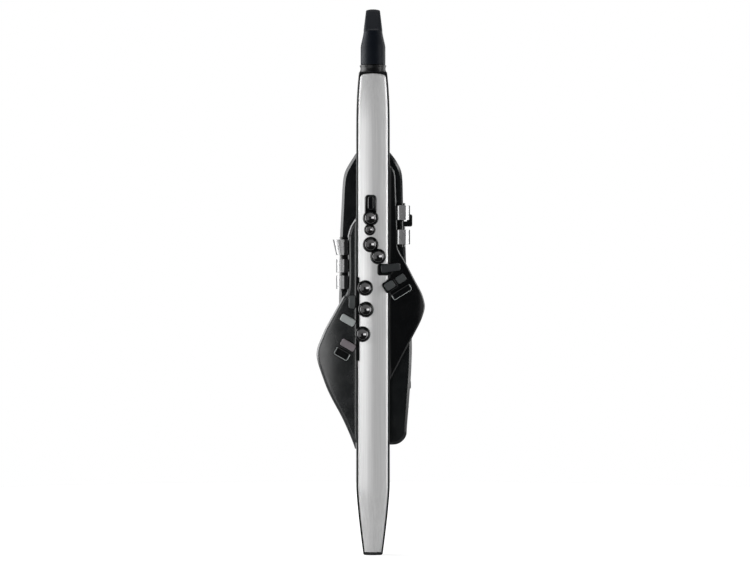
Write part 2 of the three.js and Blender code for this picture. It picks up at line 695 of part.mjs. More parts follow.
// Round finger keys and their rims
const FINGER_KEYS = [
  { name: 'b_key', x: LEFT_STACK_X, z: B_KEY_Z, radius: KEY_RADIUS, rim: KEY_RIM },
  { name: 'bis_key', x: BIS_KEY_X, z: B_KEY_Z - B_TO_BIS, radius: SMALL_KEY_RADIUS, rim: SMALL_KEY_RIM },
  { name: 'a_key', x: LEFT_STACK_X, z: B_KEY_Z - B_TO_A, radius: KEY_RADIUS, rim: KEY_RIM },
  { name: 'g_key', x: G_KEY_X, z: B_KEY_Z - B_TO_G, radius: KEY_RADIUS, rim: KEY_RIM },
  { name: 'f_key', x: F_KEY_X, z: F_KEY_Z, radius: KEY_RADIUS, rim: KEY_RIM },
  { name: 'e_key', x: E_KEY_X, z: F_KEY_Z - F_TO_E, radius: KEY_RADIUS, rim: KEY_RIM },
  { name: 'd_key', x: D_KEY_X, z: F_KEY_Z - F_TO_D, radius: KEY_RADIUS, rim: KEY_RIM },
];
const FRONT_F_Z = B_KEY_Z + B_TO_FRONT_F;
const fingerKey = (name) => FINGER_KEYS.find((key) => key.name === name);

function rimSolid({ x, z, radius, rim }, grow) {
  const outer = radius + rim + grow;
  return turned([[0, RIM_FRONT], [outer - RIM_EDGE, RIM_FRONT], [outer, RIM_FRONT + RIM_EDGE],
    [outer, RIM_BACK + grow], [0, RIM_BACK + grow]], x, z, ROUND_SIDES);
}

function frontFRim(grow) {
  const width = FRONT_F_WIDTH + FRONT_F_RIM * 2 + grow * 2;
  const length = FRONT_F_LENGTH + FRONT_F_RIM * 2 + grow * 2;
  return plateAt(width, length, width / 2, LEFT_STACK_X, FRONT_F_Z, RIM_FRONT, RIM_BACK + grow);
}

// The stretch of rim that runs out over the body's side beside a right-hand key
function sideFlare({ x, z }, grow) {
  const outer = -BODY_HALF_WIDTH - grow;
  return block(outer, x, RIM_FRONT + RIM_EDGE * 2 + (grow > 0 ? -OVERRUN : 0), RIM_BACK + grow,
    z - RIM_FLARE - grow, z + RIM_FLARE + grow);
}

const keyWell = ({ x, z, radius }) => disc(radius + GAP, x, z, RIM_FRONT - OVERRUN, RIM_BACK + OVERRUN);
const frontFWell = () => plateAt(FRONT_F_WIDTH + GAP * 2, FRONT_F_LENGTH + GAP * 2,
  FRONT_F_WIDTH / 2 + GAP, LEFT_STACK_X, FRONT_F_Z, RIM_FRONT - OVERRUN, RIM_BACK + OVERRUN);

const RIM_GROUPS = [
  { name: 'b_key_rim', keys: ['b_key', 'bis_key'], pill: true, flare: false },
  { name: 'a_key_rim', keys: ['a_key', 'g_key'], pill: false, flare: false },
  { name: 'f_key_rim', keys: ['f_key'], pill: false, flare: true },
  { name: 'e_key_rim', keys: ['e_key'], pill: false, flare: true },
  { name: 'd_key_rim', keys: ['d_key'], pill: false, flare: true },
];

function rimGroup({ keys, pill, flare }, grow) {
  const members = keys.map(fingerKey);
  const solids = members.map((key) => rimSolid(key, grow));
  if (pill) {
    solids.push(frontFRim(grow));
  }
  if (flare) {
    solids.push(...members.map((key) => sideFlare(key, grow)));
  }
  return joined(solids);
}

const rimCuts = RIM_GROUPS.map((group) => rimGroup(group, GAP));

// Table keys: flat caps that stand on the wings
const TABLE_KEYS = [
  { name: 'g_sharp_key', wing: LEFT_WING, out: G_SHARP_OUT, z: B_KEY_Z - B_TO_G_SHARP, turn: G_SHARP_TURN,
    length: G_SHARP_LENGTH, width: G_SHARP_WIDTH, finish: 'darkKey' },
  { name: 'low_c_sharp_key', wing: LEFT_WING, out: 0, z: B_KEY_Z - B_TO_C_SHARP, turn: LEFT_TABLE_TURN,
    length: SHORT_KEY_LENGTH, width: SHORT_KEY_WIDTH, finish: 'greyKey' },
  { name: 'low_b_key', wing: LEFT_WING, out: LOW_B_OUT, z: B_KEY_Z - B_TO_LOW_B, turn: LEFT_TABLE_TURN,
    length: SHORT_KEY_LENGTH, width: SHORT_KEY_WIDTH, finish: 'greyKey' },
  { name: 'low_b_flat_key', wing: LEFT_WING, out: B_FLAT_OUT, z: B_KEY_Z - B_TO_B_FLAT,
    turn: LEFT_TABLE_TURN, length: B_FLAT_LENGTH, width: B_FLAT_WIDTH, finish: 'blackGloss' },
  { name: 'side_f_sharp_key', wing: RIGHT_WING, out: F_SHARP_OUT, z: F_KEY_Z - F_TO_F_SHARP, turn: 0,
    length: F_SHARP_WIDTH, width: F_SHARP_LENGTH, finish: 'greyKey' },
  { name: 'e_flat_key', wing: RIGHT_WING, out: E_FLAT_OUT, z: F_KEY_Z - F_TO_E_FLAT, turn: RIGHT_TABLE_TURN,
    length: RIGHT_TABLE_LENGTH, width: RIGHT_TABLE_WIDTH, finish: 'greyKey' },
  { name: 'low_c_key', wing: RIGHT_WING, out: LOW_C_OUT, z: F_KEY_Z - F_TO_LOW_C, turn: RIGHT_TABLE_TURN,
    length: RIGHT_TABLE_LENGTH, width: RIGHT_TABLE_WIDTH, finish: 'greyKey' },
  { name: 'low_a_key', wing: RIGHT_WING, out: LOW_A_OUT, z: F_KEY_Z - F_TO_LOW_A, turn: RIGHT_TABLE_TURN,
    length: RIGHT_TABLE_LENGTH, width: LOW_A_WIDTH, finish: 'blackGloss' },
].map((key) => ({ ...key, x: key.wing.side * (BODY_HALF_WIDTH + key.out) }));

function tableSurface(key) {
  return WING_FRONT + Math.max(0, wingFall(key.x, key.wing.reach));
}

function tableFront(key) {
  const overPanel = Math.abs(key.x) - key.length / 2 < BODY_HALF_WIDTH - LIP - TAB_ROUND;
  return Math.min(tableSurface(key), overPanel ? TAB_FRONT : tableSurface(key)) - TABLE_RISE;
}

const tableBack = (key) => tableSurface(key) + TABLE_SKIRT;

const tableWells = TABLE_KEYS.map((key) => plateAt(key.length + GAP * 2, key.width + GAP * 2,
  TABLE_ROUND + GAP, key.x, key.z, tableFront(key) - OVERRUN, tableSurface(key) + WELL_DEPTH, key.turn));

// Tabs of the left-hand wing that reach into the front panel round two of its keys
function wingTabs(grow) {
  const gSharp = TABLE_KEYS[0];
  const cSharp = TABLE_KEYS[1];
  const left = gSharp.x - G_SHARP_TAB_REACH - grow;
  const right = BODY_HALF_WIDTH + WING_TUCK + grow;
  const front = TAB_FRONT - (grow > 0 ? OVERRUN : 0);
  const rim = (C_SHARP_TAB_RIM + grow) * 2;
  return [
    plateAt(right - left, G_SHARP_TAB_HEIGHT + grow * 2, TAB_ROUND + grow, (left + right) / 2,
      gSharp.z - C_SHARP_TAB_RIM, front, TAB_BACK + grow),
    plateAt(cSharp.length + rim, cSharp.width + rim, TAB_ROUND + grow, cSharp.x, cSharp.z, front,
      TAB_BACK + grow, cSharp.turn),
  ];
}

const tabCuts = wingTabs(GAP);
const bodyClear = bodySolid(0, BODY_LENGTH, GAP);
const housingClear = housingSolid(GAP);

function wingPiece(wing, tabs) {
  const shell = cutBy(wingSolid(wing, 0, WING_TUCK, wingLevelShares), [
    wingSolid(wing, -WING_WALL, WING_TUCK * 2, wingInsideShares), bodyClear]);
  return cutBy(joined([shell, ...tabs]), [housingClear, ...tableWells, ...rimCuts]);
}

// Materials
function material(color, roughness, metalness) {
  return new THREE.MeshStandardMaterial({ color, roughness, metalness });
}

const finishes = {
  silver: material(0xb9babc, 0.35, 0.9),
  blackGloss: material(0x15171a, 0.2, 0),
  graphite: material(0x4a5053, 0.3, 0.2),
  blackMatt: material(0x1c1d1f, 0.5, 0),
  housing: material(0x3a4144, 0.4, 0),
  keyMetal: material(0x6d6a6c, 0.25, 0.6),
  darkKey: material(0x4a4b4e, 0.35, 0.1),
  greyKey: material(0x85868a, 0.4, 0.1),
  chrome: material(0xd5d6d8, 0.15, 1),
  mouthpiece: material(0x222831, 0.4, 0),
  rubber: material(0x26272a, 0.8, 0),
  board: material(0x1f5b3a, 0.6, 0),
  cell: material(0x9a9ca0, 0.4, 0.3),
  glass: material(0x0b0d10, 0.05, 0),
};

const instrument = new THREE.Group();

function add(name, solid, finish) {
  const mesh = new THREE.Mesh(leanBack(geometryOf(solid)), finishes[finish]);
  mesh.name = name;
  instrument.add(mesh);
}

// A piece that is made about its own middle and then placed
function place(name, solid, finish, x, y, z, turn = 0) {
  const mesh = new THREE.Mesh(geometryOf(solid), finishes[finish]);
  mesh.name = name;
  mesh.position.set(x, y, z);
  mesh.rotation.y = -turn;
  instrument.add(mesh);
}

// The body and its front panel
add('front_panel', cutBy(panelSolid(), [...rimCuts, ...tabCuts, ...tableWells]), 'silver');
add('spine_body', cutBy(bodySolid(END_CAP + GAP, BODY_LENGTH - GAP, 0), [
  bodyCavity(0, BODY_LENGTH), panelSeat(0, BODY_LENGTH), ...rimCuts, ...tabCuts, ...tableWells,
]), 'blackMatt');

function endCap() {
  const outer = [[0, -END_ROUND], [END_ROUND * softEdgeShare, -END_ROUND * softEdgeShare], [END_CAP, 0]];
  const rings = outer.map(([z, grow]) => bodyRing(z, grow));
  const plug = -BODY_WALL - GAP;
  rings.push(bodyRing(END_CAP, plug), bodyRing(END_CAP + PLUG_LENGTH, plug));
  return loft(rings, seenFromAbove);
}

add('end_cap', endCap(), 'blackGloss');

// Neck socket: a waisted collar, a plug into the body and a tenon into the mouthpiece
function neckSocket() {
  const low = BODY_LENGTH;
  const high = BODY_LENGTH + COLLAR_HEIGHT;
  const plugRadius = NECK_BACK - BODY_WALL - GAP * 2;
  const waist = [[0.25, 0.4], [0.5, 0], [0.75, 0.35], [0.88, 1]].map(([up, out]) => (
    [COLLAR_WAIST + (COLLAR_RADIUS - COLLAR_WAIST) * out, low + COLLAR_HEIGHT * up]));
  const points = [
    [NECK_BORE, low - PLUG_LENGTH], [plugRadius, low - PLUG_LENGTH], [plugRadius, low],
    [NECK_FRONT, low], ...waist, [COLLAR_RADIUS, high], [TENON_RADIUS, high],
    [TENON_RADIUS, high + TENON_LENGTH], [NECK_BORE, high + TENON_LENGTH], [NECK_BORE, low - PLUG_LENGTH],
  ];
  return turnedUpright(points, 0, 0, ROUND_SIDES);
}

add('neck_socket', neckSocket(), 'blackMatt');

function ovalRing(z, half, front, back, power) {
  return Array.from({ length: ROUND_SIDES }, (_, i) => {
    const angle = ((i + 0.5) / ROUND_SIDES) * Math.PI * 2;
    const [c, s] = [Math.cos(angle), Math.sin(angle)];
    const x = half * Math.sign(c) * Math.abs(c) ** (2 / power);
    const y = (back - front) / 2 + ((back + front) / 2) * Math.sign(s) * Math.abs(s) ** (2 / power);
    return new THREE.Vector3(x, y, z);
  });
}

// Mouthpiece: a round sleeve, a cone and a flat-faced beak that slopes back to a thin tip
function mouthpiece() {
  const radius = MOUTHPIECE_RADIUS;
  const sleeveEnd = radius - SLEEVE_EDGE / 2;
  const tipFront = TIP_THICK - REED_TABLE;
  const beakFront = RIDGE_HALF_WIDTH - TIP_ROUND * 2;
  const rings = [
    ovalRing(MOUTHPIECE_BASE, sleeveEnd, sleeveEnd, sleeveEnd, 2),
    ovalRing(MOUTHPIECE_BASE + SLEEVE_EDGE, radius, radius, radius, 2),
    ovalRing(CONE_BASE - SLEEVE_EDGE, radius, radius, radius, 2),
    ovalRing(CONE_BASE, sleeveEnd, sleeveEnd, sleeveEnd, 2),
    ovalRing(RIDGE_BASE, RIDGE_HALF_WIDTH, RIDGE_HALF_WIDTH, RIDGE_HALF_WIDTH, 2.2),
    ovalRing(BEAK_BASE, RIDGE_HALF_WIDTH, RIDGE_HALF_WIDTH - TIP_ROUND, RIDGE_HALF_WIDTH, 2.4),
  ];
  for (const share of [0.35, 0.7, 0.96]) {
    const half = RIDGE_HALF_WIDTH + (TIP_HALF_WIDTH - RIDGE_HALF_WIDTH) * share;
    const front = beakFront + (tipFront - beakFront) * share;
    rings.push(ovalRing(BEAK_BASE + BEAK_LENGTH * share, half, front, RIDGE_HALF_WIDTH, 2.8));
  }
  rings.push(ovalRing(TIP_Z, TIP_HALF_WIDTH - TIP_ROUND, tipFront - TIP_ROUND, RIDGE_HALF_WIDTH, 2.8));
  const boreEnd = MOUTHPIECE_BASE + TENON_LENGTH;
  const bore = rod(TENON_RADIUS + GAP, 0, 0, MOUTHPIECE_BASE - OVERRUN, boreEnd, ROUND_SIDES);
  const heel = TIP_Z - REED_LENGTH - GAP;
  const table = block(-radius, radius, REED_TABLE, radius + OVERRUN, heel, TIP_Z + OVERRUN);
  const windway = block(-WINDWAY_WIDTH / 2, WINDWAY_WIDTH / 2, WINDWAY_WALL, radius,
    boreEnd - OVERRUN, TIP_Z - TIP_THICK);
  return cutBy(loft(rings, seenFromAbove), [bore, table, windway]);
}

add('mouthpiece', mouthpiece(), 'mouthpiece');

function reed() {
  const heel = TIP_Z - REED_LENGTH;
  const face = REED_TABLE + GAP;
  const section = (z, half, thick) => {
    const crown = half * reedCrownShare;
    return [[-half, face], [half, face], [crown, face + thick], [-crown, face + thick]]
      .map(([x, y]) => new THREE.Vector3(x, y, z));
  };
  return loft([
    section(heel, REED_WIDTH / 2, REED_THICK), section((heel + TIP_Z) / 2, REED_WIDTH / 2, REED_THICK),
    section(TIP_Z - TIP_ROUND, REED_WIDTH / 2, REED_TIP),
  ], seenFromAbove);
}

add('reed', reed(), 'rubber');

const sensorTop = BODY_LENGTH - PLUG_LENGTH - GAP;
add('breath_sensor', joined([
  block(-SENSOR_SIZE / 2, SENSOR_SIZE / 2, -SENSOR_SIZE / 2, SENSOR_SIZE / 2,
    sensorTop - SENSOR_HEIGHT, sensorTop),
  rod(TUBE_RADIUS, 0, 0, sensorTop - GAP, MOUTHPIECE_BASE + TENON_LENGTH / 2),
]), 'rubber');

// Wings
add('left_hand_wing', wingPiece(LEFT_WING, wingTabs(0)), 'blackGloss');
add('right_hand_wing', wingPiece(RIGHT_WING, []), 'graphite');

// Finger keys and their rims
for (const group of RIM_GROUPS) {
  const wells = group.keys.map(fingerKey).map(keyWell);
  const cuts = group.pill ? [...wells, frontFWell()] : wells;
  add(group.name, cutBy(rimGroup(group, 0), cuts), 'blackGloss');
}

function fingerCap(radius) {
  const dish = (share) => [radius * share, KEY_DISH * (1 - share * share)];
  return turned([
    [0, KEY_BACK - KEY_FRONT], [radius, KEY_BACK - KEY_FRONT], [radius, KEY_EDGE],
    [radius - KEY_EDGE * softEdgeShare, KEY_EDGE * softEdgeShare], [radius - KEY_EDGE, 0],
    dish(0.6), [0, KEY_DISH],
  ], 0, 0, ROUND_SIDES);
}

for (const key of FINGER_KEYS) {
  place(key.name, fingerCap(key.radius), 'keyMetal', key.x, KEY_FRONT, key.z);
}
const pill = plateGeometry(FRONT_F_WIDTH, FRONT_F_LENGTH, FRONT_F_WIDTH / 2, KEY_BACK - KEY_FRONT, 0);
place('front_f_key', solidOf(pill), 'blackGloss', LEFT_STACK_X, KEY_FRONT, FRONT_F_Z);

for (const key of TABLE_KEYS) {
  const front = tableFront(key);
  const cap = plateGeometry(key.length, key.width, TABLE_ROUND, tableBack(key) - front, TABLE_BEVEL);
  place(key.name, solidOf(cap), key.finish, key.x, front, key.z, key.turn);
}

// Side and palm keys: a touch, a web and a barrel that turns on the rod
function rockingKey(side, rodX, inner, outer, bottom, length, flare) {
  const [low, high] = side < 0 ? [-outer, -inner] : [inner, outer];
  const touch = new THREE.BoxGeometry(high - low, TOUCH_THICK, length);
  touch.translate((low + high) / 2, TOUCH_FRONT + TOUCH_THICK / 2, bottom + length / 2);
  const corner = touch.attributes.position;
  for (let i = 0; i < corner.count; i += 1) {
    const outside = Math.abs(corner.getX(i)) > Math.abs(rodX);
    const up = (corner.getZ(i) - bottom) / length;
    corner.setX(i, corner.getX(i) + (outside ? side * flare * up : 0));
  }
  const webHalf = BARREL_RADIUS * webShare;
  const web = block(rodX - webHalf, rodX + webHalf, TOUCH_FRONT + TOUCH_THICK / 2, ROD_Y,
    bottom, bottom + length);
  const barrel = rod(BARREL_RADIUS, rodX, ROD_Y, bottom, bottom + length);
  return cutBy(joined([solidOf(touch), web, barrel]), [
    rod(ROD_RADIUS + GAP, rodX, ROD_Y, bottom - OVERRUN, bottom + length + OVERRUN),
  ]);
}

const SIDE_KEYS = [
  { name: 'side_e_key', bottom: SIDE_E_BOTTOM, length: SIDE_E_LENGTH, flare: SIDE_FLARE },
  { name: 'side_c_key', bottom: SIDE_C_BOTTOM, length: SIDE_KEY_LENGTH, flare: 0 },
  { name: 'side_b_flat_key', bottom: SIDE_B_FLAT_BOTTOM, length: SIDE_KEY_LENGTH, flare: 0 },
];
const PALM_KEYS = [
  { name: 'palm_d_key', bottom: PALM_D_BOTTOM, length: PALM_D_LENGTH },
  { name: 'palm_f_key', bottom: PALM_F_BOTTOM, length: PALM_F_LENGTH },
];

for (const key of SIDE_KEYS) {
  const { bottom, length, flare } = key;
  add(key.name, rockingKey(-1, -sideRod, SIDE_TOUCH_INNER, SIDE_TOUCH_OUTER, bottom, length, flare),
    'chrome');
}
for (const key of PALM_KEYS) {
  const { bottom, length } = key;
  add(key.name, rockingKey(1, palmRod, PALM_TOUCH_INNER, PALM_TOUCH_OUTER, bottom, length, 0), 'chrome');
}

function palmEFlat() {
  const [low, high] = [PALM_E_FLAT_BOTTOM, PALM_E_FLAT_BOTTOM + PALM_E_FLAT_LENGTH];
  const arm = low + PALM_E_FLAT_ARM;
  const outer = palmRod + PALM_E_FLAT_FAR;
  const back = PALM_E_FLAT_FRONT + TOUCH_THICK;
  return cutBy(joined([
    block(palmRod + PALM_E_FLAT_NEAR, outer, PALM_E_FLAT_FRONT, back, low, high),
    block(palmRod, outer, PALM_E_FLAT_FRONT, back, low, arm),
    rod(BARREL_RADIUS, palmRod, ROD_Y, low, arm),
  ]), [rod(ROD_RADIUS + GAP, palmRod, ROD_Y, low - OVERRUN, arm + OVERRUN)]);
}

add('palm_e_flat_key', palmEFlat(), 'blackGloss');

// A rod with posts that stand on the housing between its keys
function rodWithPosts(side, rodX, stretches) {
  const low = stretches[0][0];
  const high = stretches[stretches.length - 1][1];
  const inner = rodX - side * POST_SPAN;
  const outer = rodX + side * (BARREL_RADIUS - GAP);
  const posts = stretches.map(([bottom, top]) => block(Math.min(inner, outer), Math.max(inner, outer),
    ROD_Y - ROD_RADIUS - GAP, HOUSING_FRONT - GAP, bottom, top));
  return joined([rod(ROD_RADIUS, rodX, ROD_Y, low, high), ...posts]);
}

const between = (low, high) => [low + GAP, high - GAP];
add('side_key_rod', rodWithPosts(-1, -sideRod, [
  between(SIDE_B_FLAT_BOTTOM - ROD_END, SIDE_B_FLAT_BOTTOM),
  between(SIDE_B_FLAT_BOTTOM + SIDE_KEY_LENGTH, SIDE_C_BOTTOM),
  between(SIDE_C_BOTTOM + SIDE_KEY_LENGTH, SIDE_E_BOTTOM),
  between(SIDE_E_BOTTOM + SIDE_E_LENGTH, SIDE_E_BOTTOM + SIDE_E_LENGTH + ROD_END),
]), 'blackMatt');
add('palm_key_rod', rodWithPosts(1, palmRod, [
  between(PALM_F_BOTTOM - ROD_END, PALM_F_BOTTOM),
  between(PALM_F_BOTTOM + PALM_F_LENGTH, PALM_E_FLAT_BOTTOM),
  between(PALM_D_BOTTOM + PALM_D_LENGTH, PALM_D_BOTTOM + PALM_D_LENGTH + ROD_END),
]), 'blackMatt');

// Boards and cells
function keyBoard() {
  const half = BODY_HALF_WIDTH - BODY_WALL - GAP;
  const low = F_KEY_Z - F_TO_D - KEY_BOARD_MARGIN;
  const high = FRONT_F_Z + KEY_BOARD_MARGIN;
  const domes = [...FINGER_KEYS.map(({ x, z }) => [x, z]), [LEFT_STACK_X, FRONT_F_Z]];
  return joined([
    block(-half, half, KEY_BOARD_FRONT, KEY_BOARD_FRONT + BOARD_THICK, low, high),
    ...domes.map(([x, z]) => disc(DOME_RADIUS, x, z, DOME_FRONT, KEY_BOARD_FRONT + GAP, SMALL_SIDES)),
  ]);
}

add('key_board', keyBoard(), 'board');

function mainBoard() {
  const across = MAIN_BOARD_HALF_WIDTH - STANDOFF_MARGIN;
  const ends = [MAIN_BOARD_BOTTOM + STANDOFF_MARGIN, MAIN_BOARD_TOP - STANDOFF_MARGIN];
  const standoffs = ends.flatMap((z) => [-across, across].map((x) => (
    disc(STANDOFF_RADIUS, x, z, MAIN_BOARD_Y, BACK_INSIDE - GAP, SMALL_SIDES))));
  const screen = block(-DISPLAY_WIDTH / 2, DISPLAY_WIDTH / 2, MAIN_BOARD_Y, BACK_INSIDE - GAP,
    DISPLAY_Z - DISPLAY_HEIGHT / 2, DISPLAY_Z + DISPLAY_HEIGHT / 2);
  return joined([
    block(-MAIN_BOARD_HALF_WIDTH, MAIN_BOARD_HALF_WIDTH, MAIN_BOARD_Y, MAIN_BOARD_Y + BOARD_THICK,
      MAIN_BOARD_BOTTOM, MAIN_BOARD_TOP),
    screen, ...standoffs,
  ]);
}

add('main_board', mainBoard(), 'board');

// Where the back of the body's full section lies at a distance from its middle
function bodyBackAt(x) {
  const share = (1 - (x / BODY_HALF_WIDTH) ** BACK_POWER) ** (1 / BACK_POWER);
  return BODY_SIDE_BACK + (BODY_BACK - BODY_SIDE_BACK) * share;
}

const cellY = bodyBackAt(CELL_STEP / 2) + GAP + CELL_RADIUS;
for (const [name, column] of [['battery_cells_left', -0.5], ['battery_cells_right', 0.5]]) {
  const low = DOOR_BOTTOM + DOOR_ROUND;
  const second = low + CELL_LENGTH + CELL_NIB;
  const nib = (z) => rod(CELL_NIB_RADIUS, column * CELL_STEP, cellY, z, z + CELL_NIB * 2);
  add(name, joined([
    rod(CELL_RADIUS, column * CELL_STEP, cellY, low, low + CELL_LENGTH),
    nib(low + CELL_LENGTH - CELL_NIB / 2),
    rod(CELL_RADIUS, column * CELL_STEP, cellY, second, second + CELL_LENGTH),
  ]), 'cell');
}

// Openings in the back of the housing
const backHole = (radius, x, z) => disc(radius, x, z, BACK_INSIDE - OVERRUN, HOUSING_BACK + OVERRUN);
const backSlot = (width, height, corner, x, z, front) => (
  plateAt(width, height, corner, x, z, front, HOUSING_BACK + OVERRUN));
const doorMiddle = DOOR_BOTTOM + DOOR_HEIGHT / 2;
const octaveOffset = THUMB_REST_LENGTH / 2 + OCTAVE_GAP + OCTAVE_LENGTH / 2;
const BUTTONS = [
  { name: 'exit_button', x: -BUTTON_STEP, z: BUTTON_Z, radius: BUTTON_RADIUS },
  { name: 'value_button', x: 0, z: BUTTON_Z, radius: BUTTON_RADIUS },
  { name: 'menu_button', x: BUTTON_STEP, z: BUTTON_Z, radius: BUTTON_RADIUS },
  { name: 'power_button', x: 0, z: POWER_Z, radius: POWER_RADIUS },
];
const OCTAVE_KEYS = [
  ['octave_up_key', THUMB_Z + octaveOffset], ['octave_down_key', THUMB_Z - octaveOffset],
];
const knobHole = backHole(KNOB_SHAFT + GAP, KNOB_X, DISPLAY_Z);
const displaySlot = backSlot(DISPLAY_WIDTH + GAP * 2, DISPLAY_HEIGHT + GAP * 2, DISPLAY_ROUND + GAP,
  0, DISPLAY_Z, BACK_INSIDE - OVERRUN);
const doorSlots = [
  backSlot(DOOR_WIDTH + GAP * 2, DOOR_HEIGHT + GAP * 2, DOOR_ROUND + GAP, 0, doorMiddle,
    HOUSING_BACK - DOOR_THICK - GAP),
  backSlot(DOOR_WIDTH - DOOR_LEDGE * 2, DOOR_HEIGHT - DOOR_LEDGE * 2, DOOR_ROUND, 0, doorMiddle,
    BODY_BACK + GAP),
];

// The outside surface of the housing's right flank at a height, found on its outline
function rightReach(z) {
  const outline = housingOutline(0).filter(([x]) => x > 0);
  const above = outline.findIndex(([, up]) => up > z);
  const [low, high] = [outline[above - 1], outline[above]];
  return low[0] + ((high[0] - low[0]) * (z - low[1])) / (high[1] - low[1]);
}

function sideTube(radius, z, from, to) {
  const geometry = new THREE.CylinderGeometry(radius, radius, to - from, ROUND_SIDES);
  geometry.rotateZ(Math.PI / 2);
  geometry.translate((from + to) / 2, JACK_Y, z);
  return solidOf(geometry);
}

const jackFace = rightReach(OUTPUT_JACK_Z) + JACK_PROUD;
const usbFace = rightReach(USB_Z);
function usbBlock(margin, from, to) {
  const deep = USB_HEIGHT / 2 + margin;
  const tall = USB_WIDTH / 2 + margin;
  return block(from, to, JACK_Y - deep, JACK_Y + deep, USB_Z - tall, USB_Z + tall);
}

function rearHousing() {
  return cutBy(housingSolid(0), [
    housingSolid(-HOUSING_WALL, housingInsideShares), bodyClear, knobHole, displaySlot, ...doorSlots,
    ...BUTTONS.map(({ x, z, radius }) => backHole(radius + GAP, x, z)),
    ...OCTAVE_KEYS.map(([, z]) => backSlot(OCTAVE_WIDTH + GAP * 2, OCTAVE_LENGTH + GAP * 2,
      TABLE_ROUND + GAP, 0, z, BACK_INSIDE - OVERRUN)),
    sideTube(JACK_RADIUS + GAP, OUTPUT_JACK_Z, jackFace - JACK_LENGTH, jackFace + OVERRUN),
    usbBlock(USB_WALL + GAP, usbFace - USB_LENGTH, usbFace + OVERRUN),
    backHole(SCREW_SHANK + GAP, 0, hookScrewZ),
  ]);
}

add('rear_housing', rearHousing(), 'housing');

// Sockets in the right flank
add('output_jack', cutBy(sideTube(JACK_RADIUS, OUTPUT_JACK_Z, jackFace - JACK_LENGTH, jackFace), [
  sideTube(JACK_BORE, OUTPUT_JACK_Z, jackFace - JACK_LENGTH + JACK_PROUD, jackFace + OVERRUN),
]), 'blackMatt');
add('usb_port', cutBy(usbBlock(USB_WALL, usbFace - USB_LENGTH, usbFace), [
  usbBlock(0, usbFace - USB_LENGTH + USB_WALL, usbFace + OVERRUN),
]), 'chrome');

// Battery door, hinged at its lower edge
function batteryDoor() {
  const front = HOUSING_BACK - DOOR_THICK;
  return plateAt(DOOR_WIDTH, DOOR_HEIGHT, DOOR_ROUND, 0, doorMiddle, front, HOUSING_BACK);
}

add('battery_door', batteryDoor(), 'housing');

// Thumb rest, octave keys and pitch lever
function thumbRest() {
  const across = THUMB_REST_WIDTH / 2;
  const section = (z, half, thick, dish) => [
    [-half, 0], [half, 0], [half, thick], [half / 2, thick - dish * restDishShare], [0, thick - dish],
    [-half / 2, thick - dish * restDishShare], [-half, thick],
  ].map(([x, y]) => new THREE.Vector3(x, BACK_SURFACE + y, z));
  const half = THUMB_REST_LENGTH / 2;
  return loft([
    section(THUMB_Z - half, across, THUMB_REST_THICK / 2, THUMB_DISH / 2),
    section(THUMB_Z - half * restFlatShare, across, THUMB_REST_THICK, THUMB_DISH),
    section(THUMB_Z + half * restFlatShare, across, THUMB_REST_THICK, THUMB_DISH),
    section(THUMB_Z + half, across, THUMB_REST_THICK / 2, THUMB_DISH / 2),
  ], seenFromAbove);
}

add('thumb_rest', thumbRest(), 'rubber');

// A cap on the back of the housing: like a front cap, turned round to face +Y
function backCap(width, height, corner, thick, bevel) {
  const geometry = plateGeometry(width, height, corner, thick, bevel);
  geometry.rotateZ(Math.PI);
  return solidOf(geometry);
}

for (const [name, z] of OCTAVE_KEYS) {
  const cap = backCap(OCTAVE_WIDTH, OCTAVE_LENGTH, TABLE_ROUND, OCTAVE_RISE + OCTAVE_SKIRT, TABLE_BEVEL);
  place(name, cap, 'greyKey', 0, HOUSING_BACK + OCTAVE_RISE, z);
}

function pitchLever() {
  const barrel = new THREE.CylinderGeometry(LEVER_BARREL, LEVER_BARREL, LEVER_WIDTH, SMALL_SIDES);
  barrel.rotateZ(Math.PI / 2);
  const top = plateGeometry(LEVER_WIDTH, LEVER_LENGTH, TABLE_ROUND, LEVER_THICK, TABLE_BEVEL);
  top.rotateZ(Math.PI);
  top.translate(0, LEVER_BARREL + LEVER_THICK - GAP, 0);
  return joined([solidOf(barrel), solidOf(top)]);
}

place('pitch_lever', pitchLever(), 'darkKey', LEVER_X, BACK_SURFACE + LEVER_BARREL, THUMB_Z);

for (const { name, x, z, radius } of BUTTONS) {
  const crown = radius - TABLE_BEVEL;
  const [low, high] = [HOUSING_BACK - BUTTON_SKIRT, HOUSING_BACK + BUTTON_RISE];
  const outline = [[0, low], [radius, low], [radius, high - TABLE_BEVEL], [crown, high], [0, high]];
  add(name, turned(outline, x, z, SMALL_SIDES), 'greyKey');
}

const knobTop = BACK_SURFACE + KNOB_HEIGHT;
add('volume_knob', turned([[0, BACK_INSIDE - KNOB_SHAFT], [KNOB_SHAFT, BACK_INSIDE - KNOB_SHAFT],
  [KNOB_SHAFT, BACK_SURFACE], [KNOB_RADIUS, BACK_SURFACE], [KNOB_RADIUS, knobTop - TABLE_BEVEL],
  [KNOB_RADIUS - TABLE_BEVEL, knobTop], [0, knobTop]], KNOB_X, DISPLAY_Z, ROUND_SIDES), 'blackGloss');

add('display_window', plateAt(DISPLAY_WIDTH, DISPLAY_HEIGHT, DISPLAY_ROUND, 0, DISPLAY_Z,
  HOUSING_BACK - WINDOW_THICK, HOUSING_BACK), 'glass');

